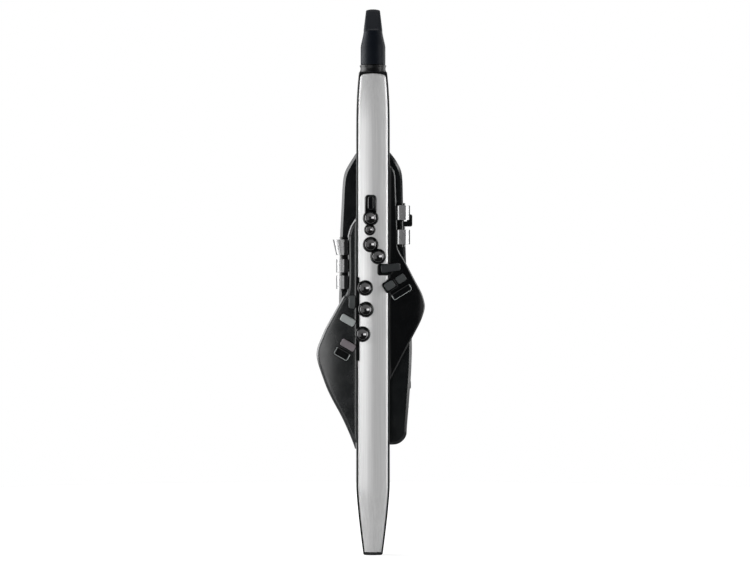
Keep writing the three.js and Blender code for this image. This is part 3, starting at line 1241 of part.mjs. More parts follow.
// Strap bracket with its swinging ring
const ringY = BACK_SURFACE + RING_PIVOT;
function strapBracket() {
  const half = STRAP_BRACKET_WIDTH / 2;
  const tall = STRAP_BRACKET_HEIGHT / 2;
  const base = block(-half, half, BACK_SURFACE, BACK_SURFACE + STRAP_BRACKET_BASE,
    STRAP_Z - tall, STRAP_Z + tall);
  const ears = [-1, 1].flatMap((side) => {
    const inner = RING_RADIUS / 2 + GAP;
    const [low, high] = [inner, half].map((x) => x * side).sort((a, b) => a - b);
    const eye = new THREE.CylinderGeometry(STRAP_EAR, STRAP_EAR, high - low, SMALL_SIDES);
    eye.rotateZ(Math.PI / 2);
    eye.translate((low + high) / 2, ringY, STRAP_Z);
    return [solidOf(eye), block(low, high, BACK_SURFACE, ringY, STRAP_Z - STRAP_EAR, STRAP_Z + STRAP_EAR)];
  });
  const pin = new THREE.CylinderGeometry(RING_WIRE, RING_WIRE, STRAP_BRACKET_WIDTH - GAP, SMALL_SIDES);
  pin.rotateZ(Math.PI / 2);
  pin.translate(0, ringY, STRAP_Z);
  return joined([base, ...ears, solidOf(pin)]);
}

add('strap_bracket', strapBracket(), 'chrome');

function strapRing() {
  const eyeOuter = RING_WIRE * 2 + GAP;
  const eyeLength = RING_RADIUS / 2;
  const eye = new THREE.CylinderGeometry(eyeOuter, eyeOuter, eyeLength * 2, SMALL_SIDES);
  eye.rotateZ(Math.PI / 2);
  const boreRadius = RING_WIRE + GAP;
  const bore = new THREE.CylinderGeometry(boreRadius, boreRadius, eyeLength * 2 + OVERRUN, SMALL_SIDES);
  bore.rotateZ(Math.PI / 2);
  const loop = new THREE.TorusGeometry(RING_RADIUS, RING_WIRE, RING_SIDES, ROUND_SIDES);
  loop.rotateX(Math.PI / 2);
  loop.translate(0, 0, -RING_RADIUS - eyeOuter);
  return cutBy(joined([solidOf(eye), solidOf(loop)]), [solidOf(bore)]);
}

place('strap_ring', strapRing(), 'chrome', 0, ringY, STRAP_Z);

// Thumb hook: a plate on the housing and a curled arm over the right thumb
function thumbHook() {
  const high = HOOK_Z + HOOK_PLATE / 2;
  const low = HOOK_Z - HOOK_PLATE / 2;
  const bend = HOOK_REACH - HOOK_DROP;
  const shape = new THREE.Shape();
  shape.moveTo(0, low);
  shape.lineTo(0, high);
  shape.lineTo(HOOK_THICK, high);
  shape.lineTo(HOOK_THICK, high - HOOK_THICK * 2);
  shape.lineTo(bend, high - HOOK_THICK * 2);
  shape.absarc(bend, high - HOOK_THICK * 2 - HOOK_DROP, HOOK_DROP, Math.PI / 2, 0, true);
  shape.lineTo(HOOK_REACH - HOOK_THICK, high - HOOK_THICK * 2 - HOOK_DROP);
  shape.absarc(bend, high - HOOK_THICK * 2 - HOOK_DROP, HOOK_DROP - HOOK_THICK, 0, Math.PI / 2, false);
  shape.lineTo(HOOK_THICK, high - HOOK_THICK * 3);
  shape.lineTo(HOOK_THICK, low);
  shape.closePath();
  const geometry = new THREE.ExtrudeGeometry(shape, {
    depth: HOOK_WIDTH, bevelEnabled: false, curveSegments: HOOK_SIDES,
  });
  geometry.rotateX(Math.PI / 2);
  geometry.rotateZ(Math.PI / 2);
  geometry.translate(-HOOK_WIDTH / 2, BACK_SURFACE, 0);
  return cutBy(solidOf(geometry), [
    disc(SCREW_SHANK + GAP, 0, hookScrewZ, HOUSING_BACK - OVERRUN, BACK_SURFACE + HOOK_THICK + OVERRUN,
      SMALL_SIDES),
  ]);
}

add('thumb_hook', thumbHook(), 'blackMatt');
const headBase = BACK_SURFACE + HOOK_THICK + GAP;
add('thumb_hook_screw', turned([[0, BACK_INSIDE - OVERRUN], [SCREW_SHANK, BACK_INSIDE - OVERRUN],
  [SCREW_SHANK, headBase], [SCREW_RADIUS, headBase], [SCREW_RADIUS, headBase + SCREW_HEAD],
  [0, headBase + SCREW_HEAD]], 0, hookScrewZ, SMALL_SIDES), 'chrome');

export default instrument;
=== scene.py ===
"""Dresses the framed model of a digital wind controller in its finished shapes and surfaces.

Metres, +Z up the instrument, the finger keys face -Y. Each operator makes one piece or one group
of like pieces, in the place that the frame gives for it.
"""
import json
import math

import bmesh
import bpy
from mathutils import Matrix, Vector


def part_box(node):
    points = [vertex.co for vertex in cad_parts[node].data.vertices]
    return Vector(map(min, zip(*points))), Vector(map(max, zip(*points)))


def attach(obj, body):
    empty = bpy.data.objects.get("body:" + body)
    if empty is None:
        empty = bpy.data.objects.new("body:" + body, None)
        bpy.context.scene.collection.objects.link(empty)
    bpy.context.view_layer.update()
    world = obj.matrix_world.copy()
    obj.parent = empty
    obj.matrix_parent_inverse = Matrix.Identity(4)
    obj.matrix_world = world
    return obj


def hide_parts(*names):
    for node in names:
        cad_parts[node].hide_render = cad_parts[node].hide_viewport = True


bl_info = {
    "name": "Digital Wind Controller",
    "version": (1, 0, 0),
    "blender": (4, 5, 0),
    "location": "3D View > Sidebar > Wind Controller",
    "description": "Shapes and finishes for a digital wind controller around its framed model",
    "category": "Object",
}

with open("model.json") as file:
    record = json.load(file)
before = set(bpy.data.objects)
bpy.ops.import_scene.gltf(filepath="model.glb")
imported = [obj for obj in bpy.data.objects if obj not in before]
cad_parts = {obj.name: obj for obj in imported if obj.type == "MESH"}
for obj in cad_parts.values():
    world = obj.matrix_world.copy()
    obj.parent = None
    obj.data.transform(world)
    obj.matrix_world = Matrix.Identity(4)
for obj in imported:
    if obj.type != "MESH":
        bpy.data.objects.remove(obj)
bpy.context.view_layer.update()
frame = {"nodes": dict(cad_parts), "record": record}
BODY_OF = {node: body for body, nodes in frame["record"]["behaviour"]["bodies"].items() for node in nodes}
SPINE_LOW, SPINE_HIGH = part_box("spine_body")
PANEL_LOW, PANEL_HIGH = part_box("front_panel")
HOUSING_LOW, HOUSING_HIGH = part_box("rear_housing")
LEFT_WING_LOW, LEFT_WING_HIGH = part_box("left_hand_wing")
MOUTH_LOW, MOUTH_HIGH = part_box("mouthpiece")
COLLAR_LOW, COLLAR_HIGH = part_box("neck_socket")

X, Y, Z = range(3)
PHOTO_WIDTH = 750
METRES_PER_PIXEL = 0.0012557

# Sides of round shapes from large to tiny, steps of rounded edges and corners, and cuts of a bent block
ROUND, SMALL_ROUND, WIRE_ROUND, TINY_ROUND = 64, 32, 16, 12
ARC_STEPS, CORNER_STEPS, CUTS = 6, 5, 8

# How far cutters run past what they cut, and how close two places count as one
OVERRUN = 0.003
FINE = 1e-6

# From how far along an axis a direction counts as facing it, and below which it counts as slanted
FACING, SLANTED = 0.9, 0.5

FINGER_KEYS = ("b_key", "bis_key", "a_key", "g_key", "f_key", "e_key", "d_key")
RIM_GROUPS = {
    "b_key_rim": ("b_key", "bis_key"),
    "a_key_rim": ("a_key", "g_key"),
    "f_key_rim": ("f_key",),
    "e_key_rim": ("e_key",),
    "d_key_rim": ("d_key",),
}
SIDE_KEYS = ("side_e_key", "side_c_key", "side_b_flat_key")
PALM_KEYS = ("palm_d_key", "palm_f_key")
PALM_ROD_KEYS = (*PALM_KEYS, "palm_e_flat_key")
BUTTONS = ("exit_button", "value_button", "menu_button", "power_button")
OCTAVE_KEYS = ("octave_up_key", "octave_down_key")
LEFT_TABLE = ("g_sharp_key", "low_c_sharp_key", "low_b_key", "low_b_flat_key")
RIGHT_TABLE = ("side_f_sharp_key", "e_flat_key", "low_c_key", "low_a_key")
TABLE_FINISHES = {
    "g_sharp_key": "dark_key", "low_c_sharp_key": "grey_key", "low_b_key": "grey_key",
    "low_b_flat_key": "black_gloss", "side_f_sharp_key": "grey_key", "e_flat_key": "light_key_and_highlight",
    "low_c_key": "warm_key", "low_a_key": "black_gloss",
}

# Framed pieces that keep their own shape
KEPT_FINISHES = {
    "key_board": "board", "main_board": "board", "battery_cells_left": "cell", "battery_cells_right": "cell",
    "breath_sensor": "rubber",
}

# Ends of the dark strips beside the right-hand keys, above and below the key's middle
STRIP_ENDS = {"f_key_rim": (0.0132, -0.0133), "e_key_rim": (0.0133, -0.0152), "d_key_rim": (0.0153, -0.033)}

# The panel's long edge: shares of its width and depth
PANEL_EDGE = ((0.1, 0.03), (0.5, 0.3), (0.75, 0.5), (0.9, 0.68), (0.98, 0.85), (1, 1))

# Slopes of the metal touches in radians, at shares of the width from the inner edge to the outer
SIDE_BENDS = ((0, 0), (0.3, 0), (0.32, 0.07), (0.64, 0.03), (0.66, 0.54), (0.92, 0.7), (1, 1))
PALM_BENDS = ((0, -0.35), (0.1, -0.3), (0.12, 0.14), (0.62, 0.05), (0.64, 0.52), (0.88, 0.68), (1, 0.9))

# Outlines, as shares of the reach to one side and of the height from bottom to top
LEFT_HOUSING_SHARES = (
    (0.47, 1), (0.68, 0.962), (0.813, 0.932), (0.875, 0.894), (0.917, 0.802), (0.956, 0.703),
    (0.979, 0.536), (1, 0.358), (0.956, 0.221), (0.813, 0.112), (0.667, 0.051), (0.49, 0.006),
)
RIGHT_HOUSING_SHARES = (
    (0.427, 0), (0.612, 0.002), (0.76, 0.013), (0.858, 0.033), (0.877, 0.064), (0.945, 0.177),
    (0.988, 0.262), (1, 0.365), (0.925, 0.5), (0.856, 0.621), (0.838, 0.682), (0.803, 0.764),
    (0.774, 0.829), (0.747, 0.922), (0.618, 0.966), (0.43, 1),
)
LEFT_WING_SHARES = (
    (0, 1), (0.124, 0.967), (0.152, 0.892), (0.172, 0.811), (0.198, 0.71), (0.205, 0.628),
    (0.274, 0.593), (0.416, 0.556), (0.56, 0.512), (0.706, 0.467), (0.897, 0.409), (0.984, 0.366),
    (1, 0.336), (0.947, 0.304), (0.851, 0.265), (0.634, 0.198), (0.345, 0.109), (0, 0),
)
RIGHT_WING_SHARES = (
    (0, 1), (0.121, 0.965), (0.183, 0.932), (0.198, 0.904), (0.205, 0.697), (0.335, 0.654),
    (0.548, 0.589), (0.762, 0.524), (0.871, 0.483), (0.967, 0.443), (1, 0.407), (0.957, 0.368),
    (0.871, 0.325), (0.741, 0.266), (0.587, 0.212), (0.335, 0.134), (0.117, 0.053), (0, 0),
)

# Side of a wing behind its rounded edge, flank and inside of the housing: inset share, depth share
WING_SIDE_SHARES = ((0.02, 0.2), (0.08, 0.4), (0.3, 0.65), (0.58, 0.85), (1, 1))
HOUSING_SIDE_SHARES = (
    (0.27, 0), (0.02, 0.06), (0, 0.09), (0, 0.3), (0.05, 0.5), (0.16, 0.66),
    (0.35, 0.8), (0.5, 0.88), (0.68, 0.94), (0.84, 0.98), (1, 1),
)
HOUSING_INSIDE_SHARES = ((0.06, 0), (0.04, 0.4), (0.35, 0.75), (1, 1))

# The collar: shares of its height and of the way out from waist to rim, and the height up to which it flares
COLLAR_SHARES = (
    (0.06, 0.3), (0.14, 0.28), (0.25, 0.2), (0.38, 0.08), (0.5, 0), (0.62, 0.08), (0.72, 0.3),
    (0.8, 0.62), (0.88, 0.94), (0.94, 1), (0.98, 0.97), (1, 0.9),
)
FLARE_END = 0.45

# The body: how late it tapers at foot and neck, how square its back is, and steps from foot to neck's end
FOOT_EASE, NECK_EASE = 1.3, 2.8
BACK_POWER, BACK_STEPS = 0.8, 24
FOOT_STEPS, BODY_STEPS, NECK_STEPS, END_STEPS = 18, 6, 22, 8
PANEL_STEPS, CROWN_STEPS = 30, 12

# Wings and housing: steps between two points of an outline, steps across a wing's front, and how much of
# the way to the body a wing's rounded edge may take
WING_STEPS, HOUSING_STEPS, FRONT_STEPS = 5, 4, 12
EDGE_SHARE = 0.9

# The mouthpiece: how square its sections are, from a circle over the ridge to the beak, and where they lie
CIRCLE, CONE_GAIN, RIDGE_POWER, BEAK_POWER = 2, 0.2, 2.9, 3.4
CONE_CURVE, RIDGE_PLACE, RIDGE_CUT, BEAK_END = 0.4, 0.6, 0.4, 0.96
SLEEVE_STEPS, CONE_STEPS, BEAK_STEPS = 4, 10, 12

# The reed: where its cut begins, how it curves, how flat its back is, and how its tip narrows
REED_CUT, REED_CURVE, REED_FLAT = 0.5, 0.7, 0.35
REED_TIP_FROM, REED_TIP_NARROW = 0.9, 0.06
REED_STEPS, REED_ROUND = 20, 14

# The thumb rest: shares that its ends lose in width, thickness and hollow, and how late
REST_NARROW, REST_THIN, REST_SHALLOW = 0.1, 0.45, 0.5
REST_NARROW_POWER, REST_FALL_POWER = 8, 5
REST_STEPS, REST_ROUND = 28, 16

# The thumb hook: powers of its oval section, across and through
HOOK_ACROSS, HOOK_THROUGH = 0.35, 0.6
HOOK_STEPS, HOOK_BEND_STEPS, HOOK_ROUND = 6, 20, 40

# Metal touches: steps across, how much narrower the back is, how near the ends the first steps lie, steps up
TOUCH_STEPS, TOUCH_TAPER, TOUCH_END, TOUCH_LEVELS = 24, 0.05, 0.03, 8

# Hollows of the round keys and buttons: steps, and where a button's begins as a share of its flat
DISH_STEPS, HOLLOW_STEPS, HOLLOW_FROM = 14, 8, 0.9

# Numbers of grip grooves
KNOB_GROOVES, REST_GROOVES, KEY_GROOVES, DOOR_GROOVES = 18, 4, 3, 3

# Parts of a noise that count as its dark and light ends: of a mask, and of smears
MASK_SPAN, SMEAR_SPAN = (0.25, 0.75), (0.45, 0.75)

# The studio: where the floor's fading ends, how fast the room grows white, and where its middle is dimmed
FLOOR_FADE, WHITE_FADE, DIM_SPAN = 0.8, 0.35, (0.5, 0.95)


def number(name, default, description, unit="NONE"):
    return bpy.props.FloatProperty(name=name, description=description, default=default, unit=unit)


def length(name, default, description):
    return number(name, default, description, "LENGTH")


def vector(name, default, description, **kind):
    return bpy.props.FloatVectorProperty(name=name, description=description, default=default, **kind)


def colour(name, default, description):
    return vector(name, default, description, subtype="COLOR", size=3, min=0, max=1)


class BodySizes(bpy.types.PropertyGroup):
    """Sections of the long body, its front panel and its neck"""

    half_width: length("Half Width", SPINE_HIGH.x, "Half the body's width where it is straight")
    front: length("Front", -PANEL_LOW.y, "Depth from the middle to the top of the panel's crown")
    back: length("Back", 0.017, "Depth from the middle to the body's back")
    side_back: length("Side Back", 0.002, "Where the straight side turns into the rounded back")
    wall: length("Wall", 0.0026, "Wall of the body")
    crown: length("Crown", 0.0035, "Height of the panel's crown over its edges")
    lip: length("Lip", 0.0019, "Width of the body's lip beside the panel")
    panel_thick: length("Panel Thickness", 0.0016, "Thickness of the front panel")
    panel_edge: length("Panel Edge", 0.0032, "Width of the rounding on the panel's long edges")
    panel_edge_depth: length("Panel Edge Depth", 0.0026, "Depth of the rounding on the panel's long edges")
    gap: length("Gap", 0.0003, "Clearance between pieces that fit together")
    top: length("Top", SPINE_HIGH.z, "Height of the body's top end")
    foot_taper: length("Foot Taper", 0.086, "Length of the taper at the foot")
    foot_half_width: length("Foot Half Width", 0.0119, "Half the width at the foot")
    foot_front: length("Foot Front", 0.0115, "Depth of the front at the foot")
    foot_back: length("Foot Back", 0.0095, "Depth of the back at the foot")
    neck_taper: length("Neck Taper", 0.08, "Length of the taper below the collar")
    neck_half_width: length("Neck Half Width", 0.0176, "Half the width at the neck")
    neck_front: length("Neck Front", 0.016, "Depth of the front at the neck")
    neck_back: length("Neck Back", 0.0155, "Depth of the back at the neck")
    lean_length: length("Lean Length", 0.145, "Length over which the neck leans back")
    lean_back: length("Lean Back", 0.012, "How far back the tip leans")
    bridge: length("Bridge", 0.0019, "Thickness of the body's end above the panel")
    corner_width: length("Corner Width", 0.0085, "Width of the rounding of the panel's top corners")
    corner_height: length("Corner Height", 0.0046, "Height of the rounding of the panel's top corners")
    end_round: length("End Rounding", 0.0022, "Rounding of the end cap")


class WingSizes(bpy.types.PropertyGroup):
    """Shape of the two wings and of the housing behind them"""

    depth: length("Depth", 0.02, "Depth of a wing from its front to its back")
    fall: length("Fall", 0.003, "How far a wing's front falls back towards its edge")
    edge: length("Edge", 0.0042, "Radius of the right-hand wing's front edge")
    sharp_edge: length("Sharp Edge", 0.002, "Radius of the left-hand wing's front edge")
    bead: length("Bead", 0.0003, "How far a wing rises beside the body")
    bead_width: length("Bead Width", 0.0014, "Width of the rise beside the body")
    curl: number("Curl", 3, "How late a wing's front falls back")
    draw_in: length("Draw In", 0.0106, "How far a wing's side is drawn in at its back")
    housing_draw_in: length("Housing Draw In", 0.012, "How far the housing's flank is drawn in")


class KeySizes(bpy.types.PropertyGroup):
    """Finger keys, table keys and the rims that hold them"""

    dish: number("Dish", 0.285, "Depth of a round key's hollow, as a share of its radius")
    lip: length("Key Lip", 0.0009, "Width of a round key's lip")
    rim: length("Rim", 0.0028, "Width of the rim round a finger key")
    small_rim: length("Small Rim", 0.0023, "Width of the rim round the small key")
    rim_edge: length("Rim Edge", 0.0011, "Radius of a rim's front edge")
    pill_rim: length("Long Key Rim", 0.0038, "Width of the rim round the long front key")
    pill_top: length("Long Key Rim Top", 0.0015, "How far that rim stands above the long front key")
    strip_inner: length("Strip Edge", -0.0176, "Inner edge of the strips beside the right-hand keys")
    strip_down: length("Strip Down", 0.0034, "How far a strip lies behind its rim's front")
    pill_corner: length("Long Rim Corner", 0.0042, "Corner radius of the rim round the long front key")
    small_key: length("Small Key", 0.0055, "Keys of a smaller radius have the small rim")
    pill_edge: length("Long Key Edge", 0.0008, "Edge radius of the long front key")
    well_below: length("Well Below", 0.0036, "How far a table key's well runs below the key")
    tab_back: length("Tab Back", -0.0104, "Where the wing's tabs end behind the panel")
    tab_height: length("Tab Height", 0.014, "Height of the wing's tab round the G sharp key")
    tab_rim: length("Tab Rim", 0.0023, "Width of the tab round the C sharp key")
    tab_round: length("Tab Corner", 0.003, "Corner radius of the wing's tabs")
    tab_edge: length("Tab Edge", 0.0008, "Edge radius of the wing's tabs")
    # The border's left, right and lower sides carry a painted highlight in the Light Key colour.
    border: length("Border", 0.0008, "Width of the border round a black table key")
    table_crown: length("Table Crown", 0.0002, "How far a table key's middle stands proud of its edge")
    side_rod: length("Side Rod", -0.03918, "Where the side keys' rod stands")
    palm_rod: length("Palm Rod", 0.03772, "Where the palm keys' rod stands")
    touch_thick: length("Touch Thickness", 0.003, "Thickness of a side key's touch")
    touch_edge: length("Touch Edge", 0.0009, "Edge radius of a side key's touch")
    touch_sheet: length("Touch Sheet", 0.0017, "Thickness of a side key's metal")
    # Width of the inner part of a side key that is painted black as painted shade
    painted_shade_width: length("Carrier", 0.0042, "Width of the black part beside the body under a side key")
    # Width of the outer edge of a side or palm key that is painted darker as painted shade
    shaded_edge_width: length("Touch Rim", 0.002, "Width of the dark outer edge of a side key")
    barrel: length("Barrel", 0.003, "Radius of a side key's barrel")
    rod_bore: length("Rod Bore", 0.0017, "Radius of the bore in a barrel")
    web: length("Web", 0.0048, "Thickness of the web between a touch and its barrel")
    palm_arm: length("Palm Arm", 0.0066, "Height of the arm of the outer palm key")
    palm_near: length("Palm Touch", 0.0047, "Distance from the rod to the outer palm key's touch")
    table_gap: length("Table Gap", 0.0008, "Gap round a table key")
    table_round: length("Table Corner", 0.0022, "Corner radius of a table key")
    table_bevel: length("Table Bevel", 0.0007, "Edge radius of a table key")
    left_turn: number("Left Table Turn", 0.56, "Turn of the left hand's table keys", "ROTATION")
    g_sharp_turn: number("G Sharp Turn", 0.14, "Turn of the G sharp key", "ROTATION")
    right_turn: number("Right Table Turn", -0.52, "Turn of the right hand's table keys", "ROTATION")


class MouthSizes(bpy.types.PropertyGroup):
    """Mouthpiece, reed and the collar below them"""

    radius: length("Sleeve Radius", MOUTH_HIGH.x + 0.0006, "Radius of the mouthpiece's round sleeve")
    sleeve_length: length("Sleeve Length", 0.024, "Length of the round sleeve")
    sleeve_edge: length("Sleeve Edge", 0.0016, "Rounding at the sleeve's ends")
    cone_length: length("Cone Length", 0.018, "Length of the cone above the sleeve")
    ridge_half_width: length("Ridge Half Width", 0.0118, "Half the width at the ridge")
    ridge_length: length("Ridge Length", 0.0024, "Height of the ridge")
    tip_half_width: length("Tip Half Width", 0.0087, "Half the width at the tip")
    tip_raise: length("Tip Raise", 0.002, "How far the tip stands above the plain model's")
    tip_arch: length("Tip Arch", 0.0012, "Height of the tip's arch")
    windway_end: length("Windway End", 0.0095, "Distance below the tip at which the windway grows thin")
    tip_slot: length("Tip Slot", 0.0078, "Depth at which the thin windway's floor lies")
    tip_thick: length("Tip Thickness", 0.003, "Thickness of the tip")
    tip_round: length("Tip Rounding", 0.0009, "Rounding of the tip")
    reed_table: length("Reed Table", 0.0093, "Distance from the middle to the flat that the reed lies on")
    reed_thick: length("Reed Thickness", 0.0026, "Thickness of the reed at its heel")
    reed_tip: length("Reed Tip", 0.0008, "Thickness of the reed at its tip")
    windway: length("Windway", 0.009, "Width of the slot under the reed")
    windway_wall: length("Windway Floor", 0.0032, "Depth at which the windway's floor lies")
    tenon_radius: length("Tenon Radius", 0.0087, "Radius of the tenon in the mouthpiece")
    tenon_length: length("Tenon Length", 0.017, "Length of the tenon in the mouthpiece")
    neck_bore: length("Neck Bore", 0.003, "Radius of the bore through the neck")
    collar_radius: length("Collar Radius", COLLAR_HIGH.x + 0.0006, "Radius of the collar's top rim")
    collar_waist: length("Collar Waist", 0.0157, "Radius of the collar's waist")
    collar_flare: length("Collar Flare", 0.0014, "How far the collar widens towards the body")


class BackSizes(bpy.types.PropertyGroup):
    """Housing wall and the controls on the back"""

    wall: length("Wall", 0.0024, "Wall of the housing")
    knob_shaft: length("Knob Shaft", 0.002, "Radius of the knob's shaft")
    knob_groove: length("Knob Groove", 0.0007, "Radius of the grooves in the knob's grip")
    button_edge: length("Button Edge", 0.0009, "Edge radius of a button")
    button_dish: length("Button Dish", 0.0004, "Depth of a button's hollow")
    screw_shank: length("Screw Shank", 0.0013, "Radius of the hook screw's shank")
    screw_head: length("Screw Head", 0.0014, "Height of the hook screw's head")
    screw_slot: length("Screw Slot", 0.0007, "Width of the slot in the screw's head")
    key_round: length("Key Corner", 0.0014, "Corner radius of the octave keys")
    key_inset: length("Key Inset", 0.0018, "Width of the border round an octave key's hollow")
    key_hollow: length("Key Hollow", 0.0008, "Depth of an octave key's hollow")
    key_edge: length("Key Edge", 0.0008, "Edge radius of the octave keys and the lever")
    groove: length("Groove", 0.0005, "Radius of the grip grooves")
    groove_step: length("Groove Step", 0.0028, "Distance between grip grooves")
    rest_dish: length("Rest Dish", 0.0016, "Depth of the thumb rest's hollow")
    rest_edge: length("Rest Edge", 0.0007, "Edge radius of the thumb rest")
    lever_barrel: length("Lever Barrel", 0.0024, "Radius of the pitch lever's barrel")
    lever_thick: length("Lever Thickness", 0.003, "Thickness of the pitch lever's touch")
    display_round: length("Display Corner", 0.002, "Corner radius of the display window")
    display_border: length("Display Border", 0.003, "Width of the dark border round the screen")
    door_round: length("Door Corner", 0.004, "Corner radius of the battery door")
    door_ledge: length("Door Ledge", 0.0014, "Ledge that the battery door lies on")
    door_edge: length("Door Edge", 0.0004, "Edge radius of the battery door")
    scoop: length("Scoop", 0.008, "Radius of the scoop for the finger in the battery door")
    scoop_depth: length("Scoop Depth", 0.0009, "Depth of the scoop")
    scoop_drop: length("Scoop Drop", 0.011, "Distance of the scoop from the door's top")
    jack_bore: length("Jack Bore", 0.0032, "Radius of the output jack's bore")
    jack_floor: length("Jack Floor", 0.001, "Thickness of the output jack's inner end")
    jack_edge: length("Jack Edge", 0.0005, "Edge radius of the output jack")
    port_wall: length("Port Wall", 0.0016, "Wall of the USB port")
    port_round: length("Port Corner", 0.0012, "Corner radius of the USB port")
    port_tongue: length("Port Tongue", 0.0007, "Half the thickness of the USB port's tongue")
    bracket_base: length("Bracket Base", 0.0022, "Thickness of the strap bracket's base")
    ear: length("Ear", 0.0023, "Radius of the strap bracket's ears")
    ear_inner: length("Ear Inside", 0.0043, "Distance from the middle to an ear")
    ring_radius: length("Ring Radius", 0.008, "Radius of the strap ring")
    ring_wire: length("Ring Wire", 0.0013, "Radius of the strap ring's wire")
    hook_thick: length("Hook Thickness", 0.0032, "Thickness of the thumb hook")
    hook_drop: length("Hook Drop", 0.016, "Radius of the thumb hook's bend")
    hook_step: length("Hook Step", 0.0064, "Distance from the hook plate's top to its arm")
    hook_edge: length("Hook Edge", 0.0009, "Edge radius of the thumb hook")
    hook_narrow: length("Hook Narrowing", 0.0012, "How far the hook narrows on each side at its tip")
    post: length("Post", 0.005, "How far a rod's post reaches towards the body")
    post_edge: length("Post Edge", 0.0004, "Edge radius of a rod's posts")


class FinishColours(bpy.types.PropertyGroup):
    """Colours of the finishes"""

    silver: colour("Silver", (0.8, 0.8, 0.8), "Brushed front panel")
    black_gloss: colour("Black Gloss", (0.002, 0.0025, 0.003), "Left-hand wing, rims, posts and end cap")
    graphite: colour("Graphite", (0.007, 0.0088, 0.0096), "Right-hand wing")
    # Black Satin also gives the painted shade on the inner part of the side keys.
    black_satin_and_shade: colour("Black Satin", (0.003, 0.0032, 0.004), "Body, collar, output jack and thumb hook")
    housing: colour("Housing", (0.006, 0.0075, 0.0085), "Housing and battery door")
    pearl: colour("Key Metal", (0.225, 0.223, 0.226), "Dished finger keys")
    # Dark Key also gives the painted shade along the outer edge of the side keys.
    dark_key: colour("Dark Key", (0.018, 0.021, 0.023), "G sharp key, pitch lever and volume knob")
    # Grey Key also gives the painted shade along the outer edge of the palm keys.
    grey_key: colour("Grey Key", (0.06, 0.066, 0.067), "Grey table keys, octave keys and buttons")
    # Light Key also gives the painted highlight on the left, right and lower borders of the black table
    # keys.
    light_key_and_highlight: colour("Light Key", (0.42, 0.45, 0.445), "Pale table key and the borders of the black ones")
    warm_key: colour("Warm Key", (0.225, 0.2, 0.215), "Warm grey table key")
    key_silver: colour("Key Silver", (0.45, 0.45, 0.455), "Side keys and palm keys")
    chrome: colour("Chrome", (0.8, 0.8, 0.81), "Strap fittings, hook screw and USB port")
    mouthpiece: colour("Mouthpiece", (0.005, 0.007, 0.011), "Mouthpiece")
    rubber: colour("Rubber", (0.02, 0.02, 0.021), "Thumb rest, reed and breath sensor")
    board: colour("Board", (0.01, 0.09, 0.04), "Circuit boards")
    cell: colour("Cell", (0.35, 0.36, 0.38), "Battery cells")
    glass: colour("Glass", (0.006, 0.007, 0.009), "Display window")
    screen: colour("Screen", (0.05, 0.062, 0.058), "Screen behind the display window")


def level(name, default, description):
    return bpy.props.FloatProperty(name=name, description=description, default=default, min=0)


def watts(light, default):
    return number(light + " Power", default, f"Power of the {light.lower()}", "POWER")


def size_of(light, default):
    about = f"Width and height of the {light.lower()}"
    return vector(light + " Size", default, about, size=2, unit="LENGTH")


def place_at(light, default):
    return vector(light + " Place", default, f"Where the {light.lower()} stands", subtype="TRANSLATION")


class StudioSettings(bpy.types.PropertyGroup):
    """Camera, floor, room and lights"""

    lens: number("Lens", 150, "Focal length", "CAMERA")
    sensor: number("Sensor", 36, "Width of the sensor", "CAMERA")
    aim_x: length("Aim Across", 0.0025, "What the middle of the view shows, across")
    aim_z: length("Aim Height", 0.3429, "What the middle of the view shows, in height")
    middle: length("Light Height", 0.34, "Height that the lights are aimed at")
    floor_radius: length("Floor Radius", 1.4, "Radius of the floor")
    floor_tone: level("Floor Tone", 0.45, "How pale the floor is")
    floor_glow: level("Floor Glow", 0.75, "How far the floor shines where it is seen directly")
    world_level: level("Room Level", 0.03, "Brightness of the room in front of the object")
    behind_level: level("Behind Level", 0.2, "Brightness of the room straight behind the object")
    left_power: watts("Left Light", 17.2)
    left_size: size_of("Left Light", (1.36, 1.3))
    left_place: place_at("Left Light", (-1.05, -1.82, 0.1))
    left_rim_power: watts("Left Rim Light", 70)
    left_rim_size: size_of("Left Rim Light", (1.8, 2.2))
    left_rim_place: place_at("Left Rim Light", (-1.7, 0.3, 0.6))
    right_power: watts("Right Light", 3.2)
    right_size: size_of("Right Light", (1.5, 1.9))
    right_place: place_at("Right Light", (1.35, -1.6, 0.5))
    right_rim_power: watts("Right Rim Light", 23)
    right_rim_size: size_of("Right Rim Light", (0.62, 2))
    right_rim_place: place_at("Right Rim Light", (1.8, -0.55, 0.6))
    back_power: watts("Back Light", 14)
    back_size: size_of("Back Light", (1, 1.8))
    back_place: place_at("Back Light", (1.7, 1.5, 0.7))
    top_power: watts("Top Light", 8)
    top_size: size_of("Top Light", (1.2, 0.8))
    top_place: place_at("Top Light", (0, 0.2, 2.2))
    white_from: number("White From", -0.3, "Where the white room behind begins, as a share of the way round")
    white_lean: number("White Lean", 0.3, "How far the white room reaches round on the left")


# Modelling helpers

def sizes(kind):
    return getattr(bpy.context.scene, "controller_" + kind)


def deselect():
    if bpy.context.object and bpy.context.object.mode != "OBJECT":
        bpy.ops.object.mode_set(mode="OBJECT")
    bpy.ops.object.select_all(action="DESELECT")


def choose(obj):
    deselect()
    obj.select_set(True)
    bpy.context.view_layer.objects.active = obj


def settle(obj):
    """Puts an object's place, turn and size into its mesh."""
    choose(obj)
    bpy.ops.object.transform_apply(location=True, rotation=True, scale=True)
    return obj


def cylinder(radius, middle, axis, start, end, sides=ROUND):
    """A cylinder along an axis through a point, from one place on the axis to another."""
    low, high = Vector(middle), Vector(middle)
    low[axis], high[axis] = start, end
    along = high - low
    deselect()
    bpy.ops.mesh.primitive_cylinder_add(
        vertices=sides, radius=radius, depth=along.length, location=(low + high) / 2,
        rotation=along.to_track_quat("Z", "Y").to_euler())
    return settle(bpy.context.object)


def block(low, high):
    """A box between two corners."""
    low, high = Vector(low), Vector(high)
    deselect()
    bpy.ops.mesh.primitive_cube_add(size=1, location=(low + high) / 2)
    bpy.context.object.scale = high - low
    return settle(bpy.context.object)


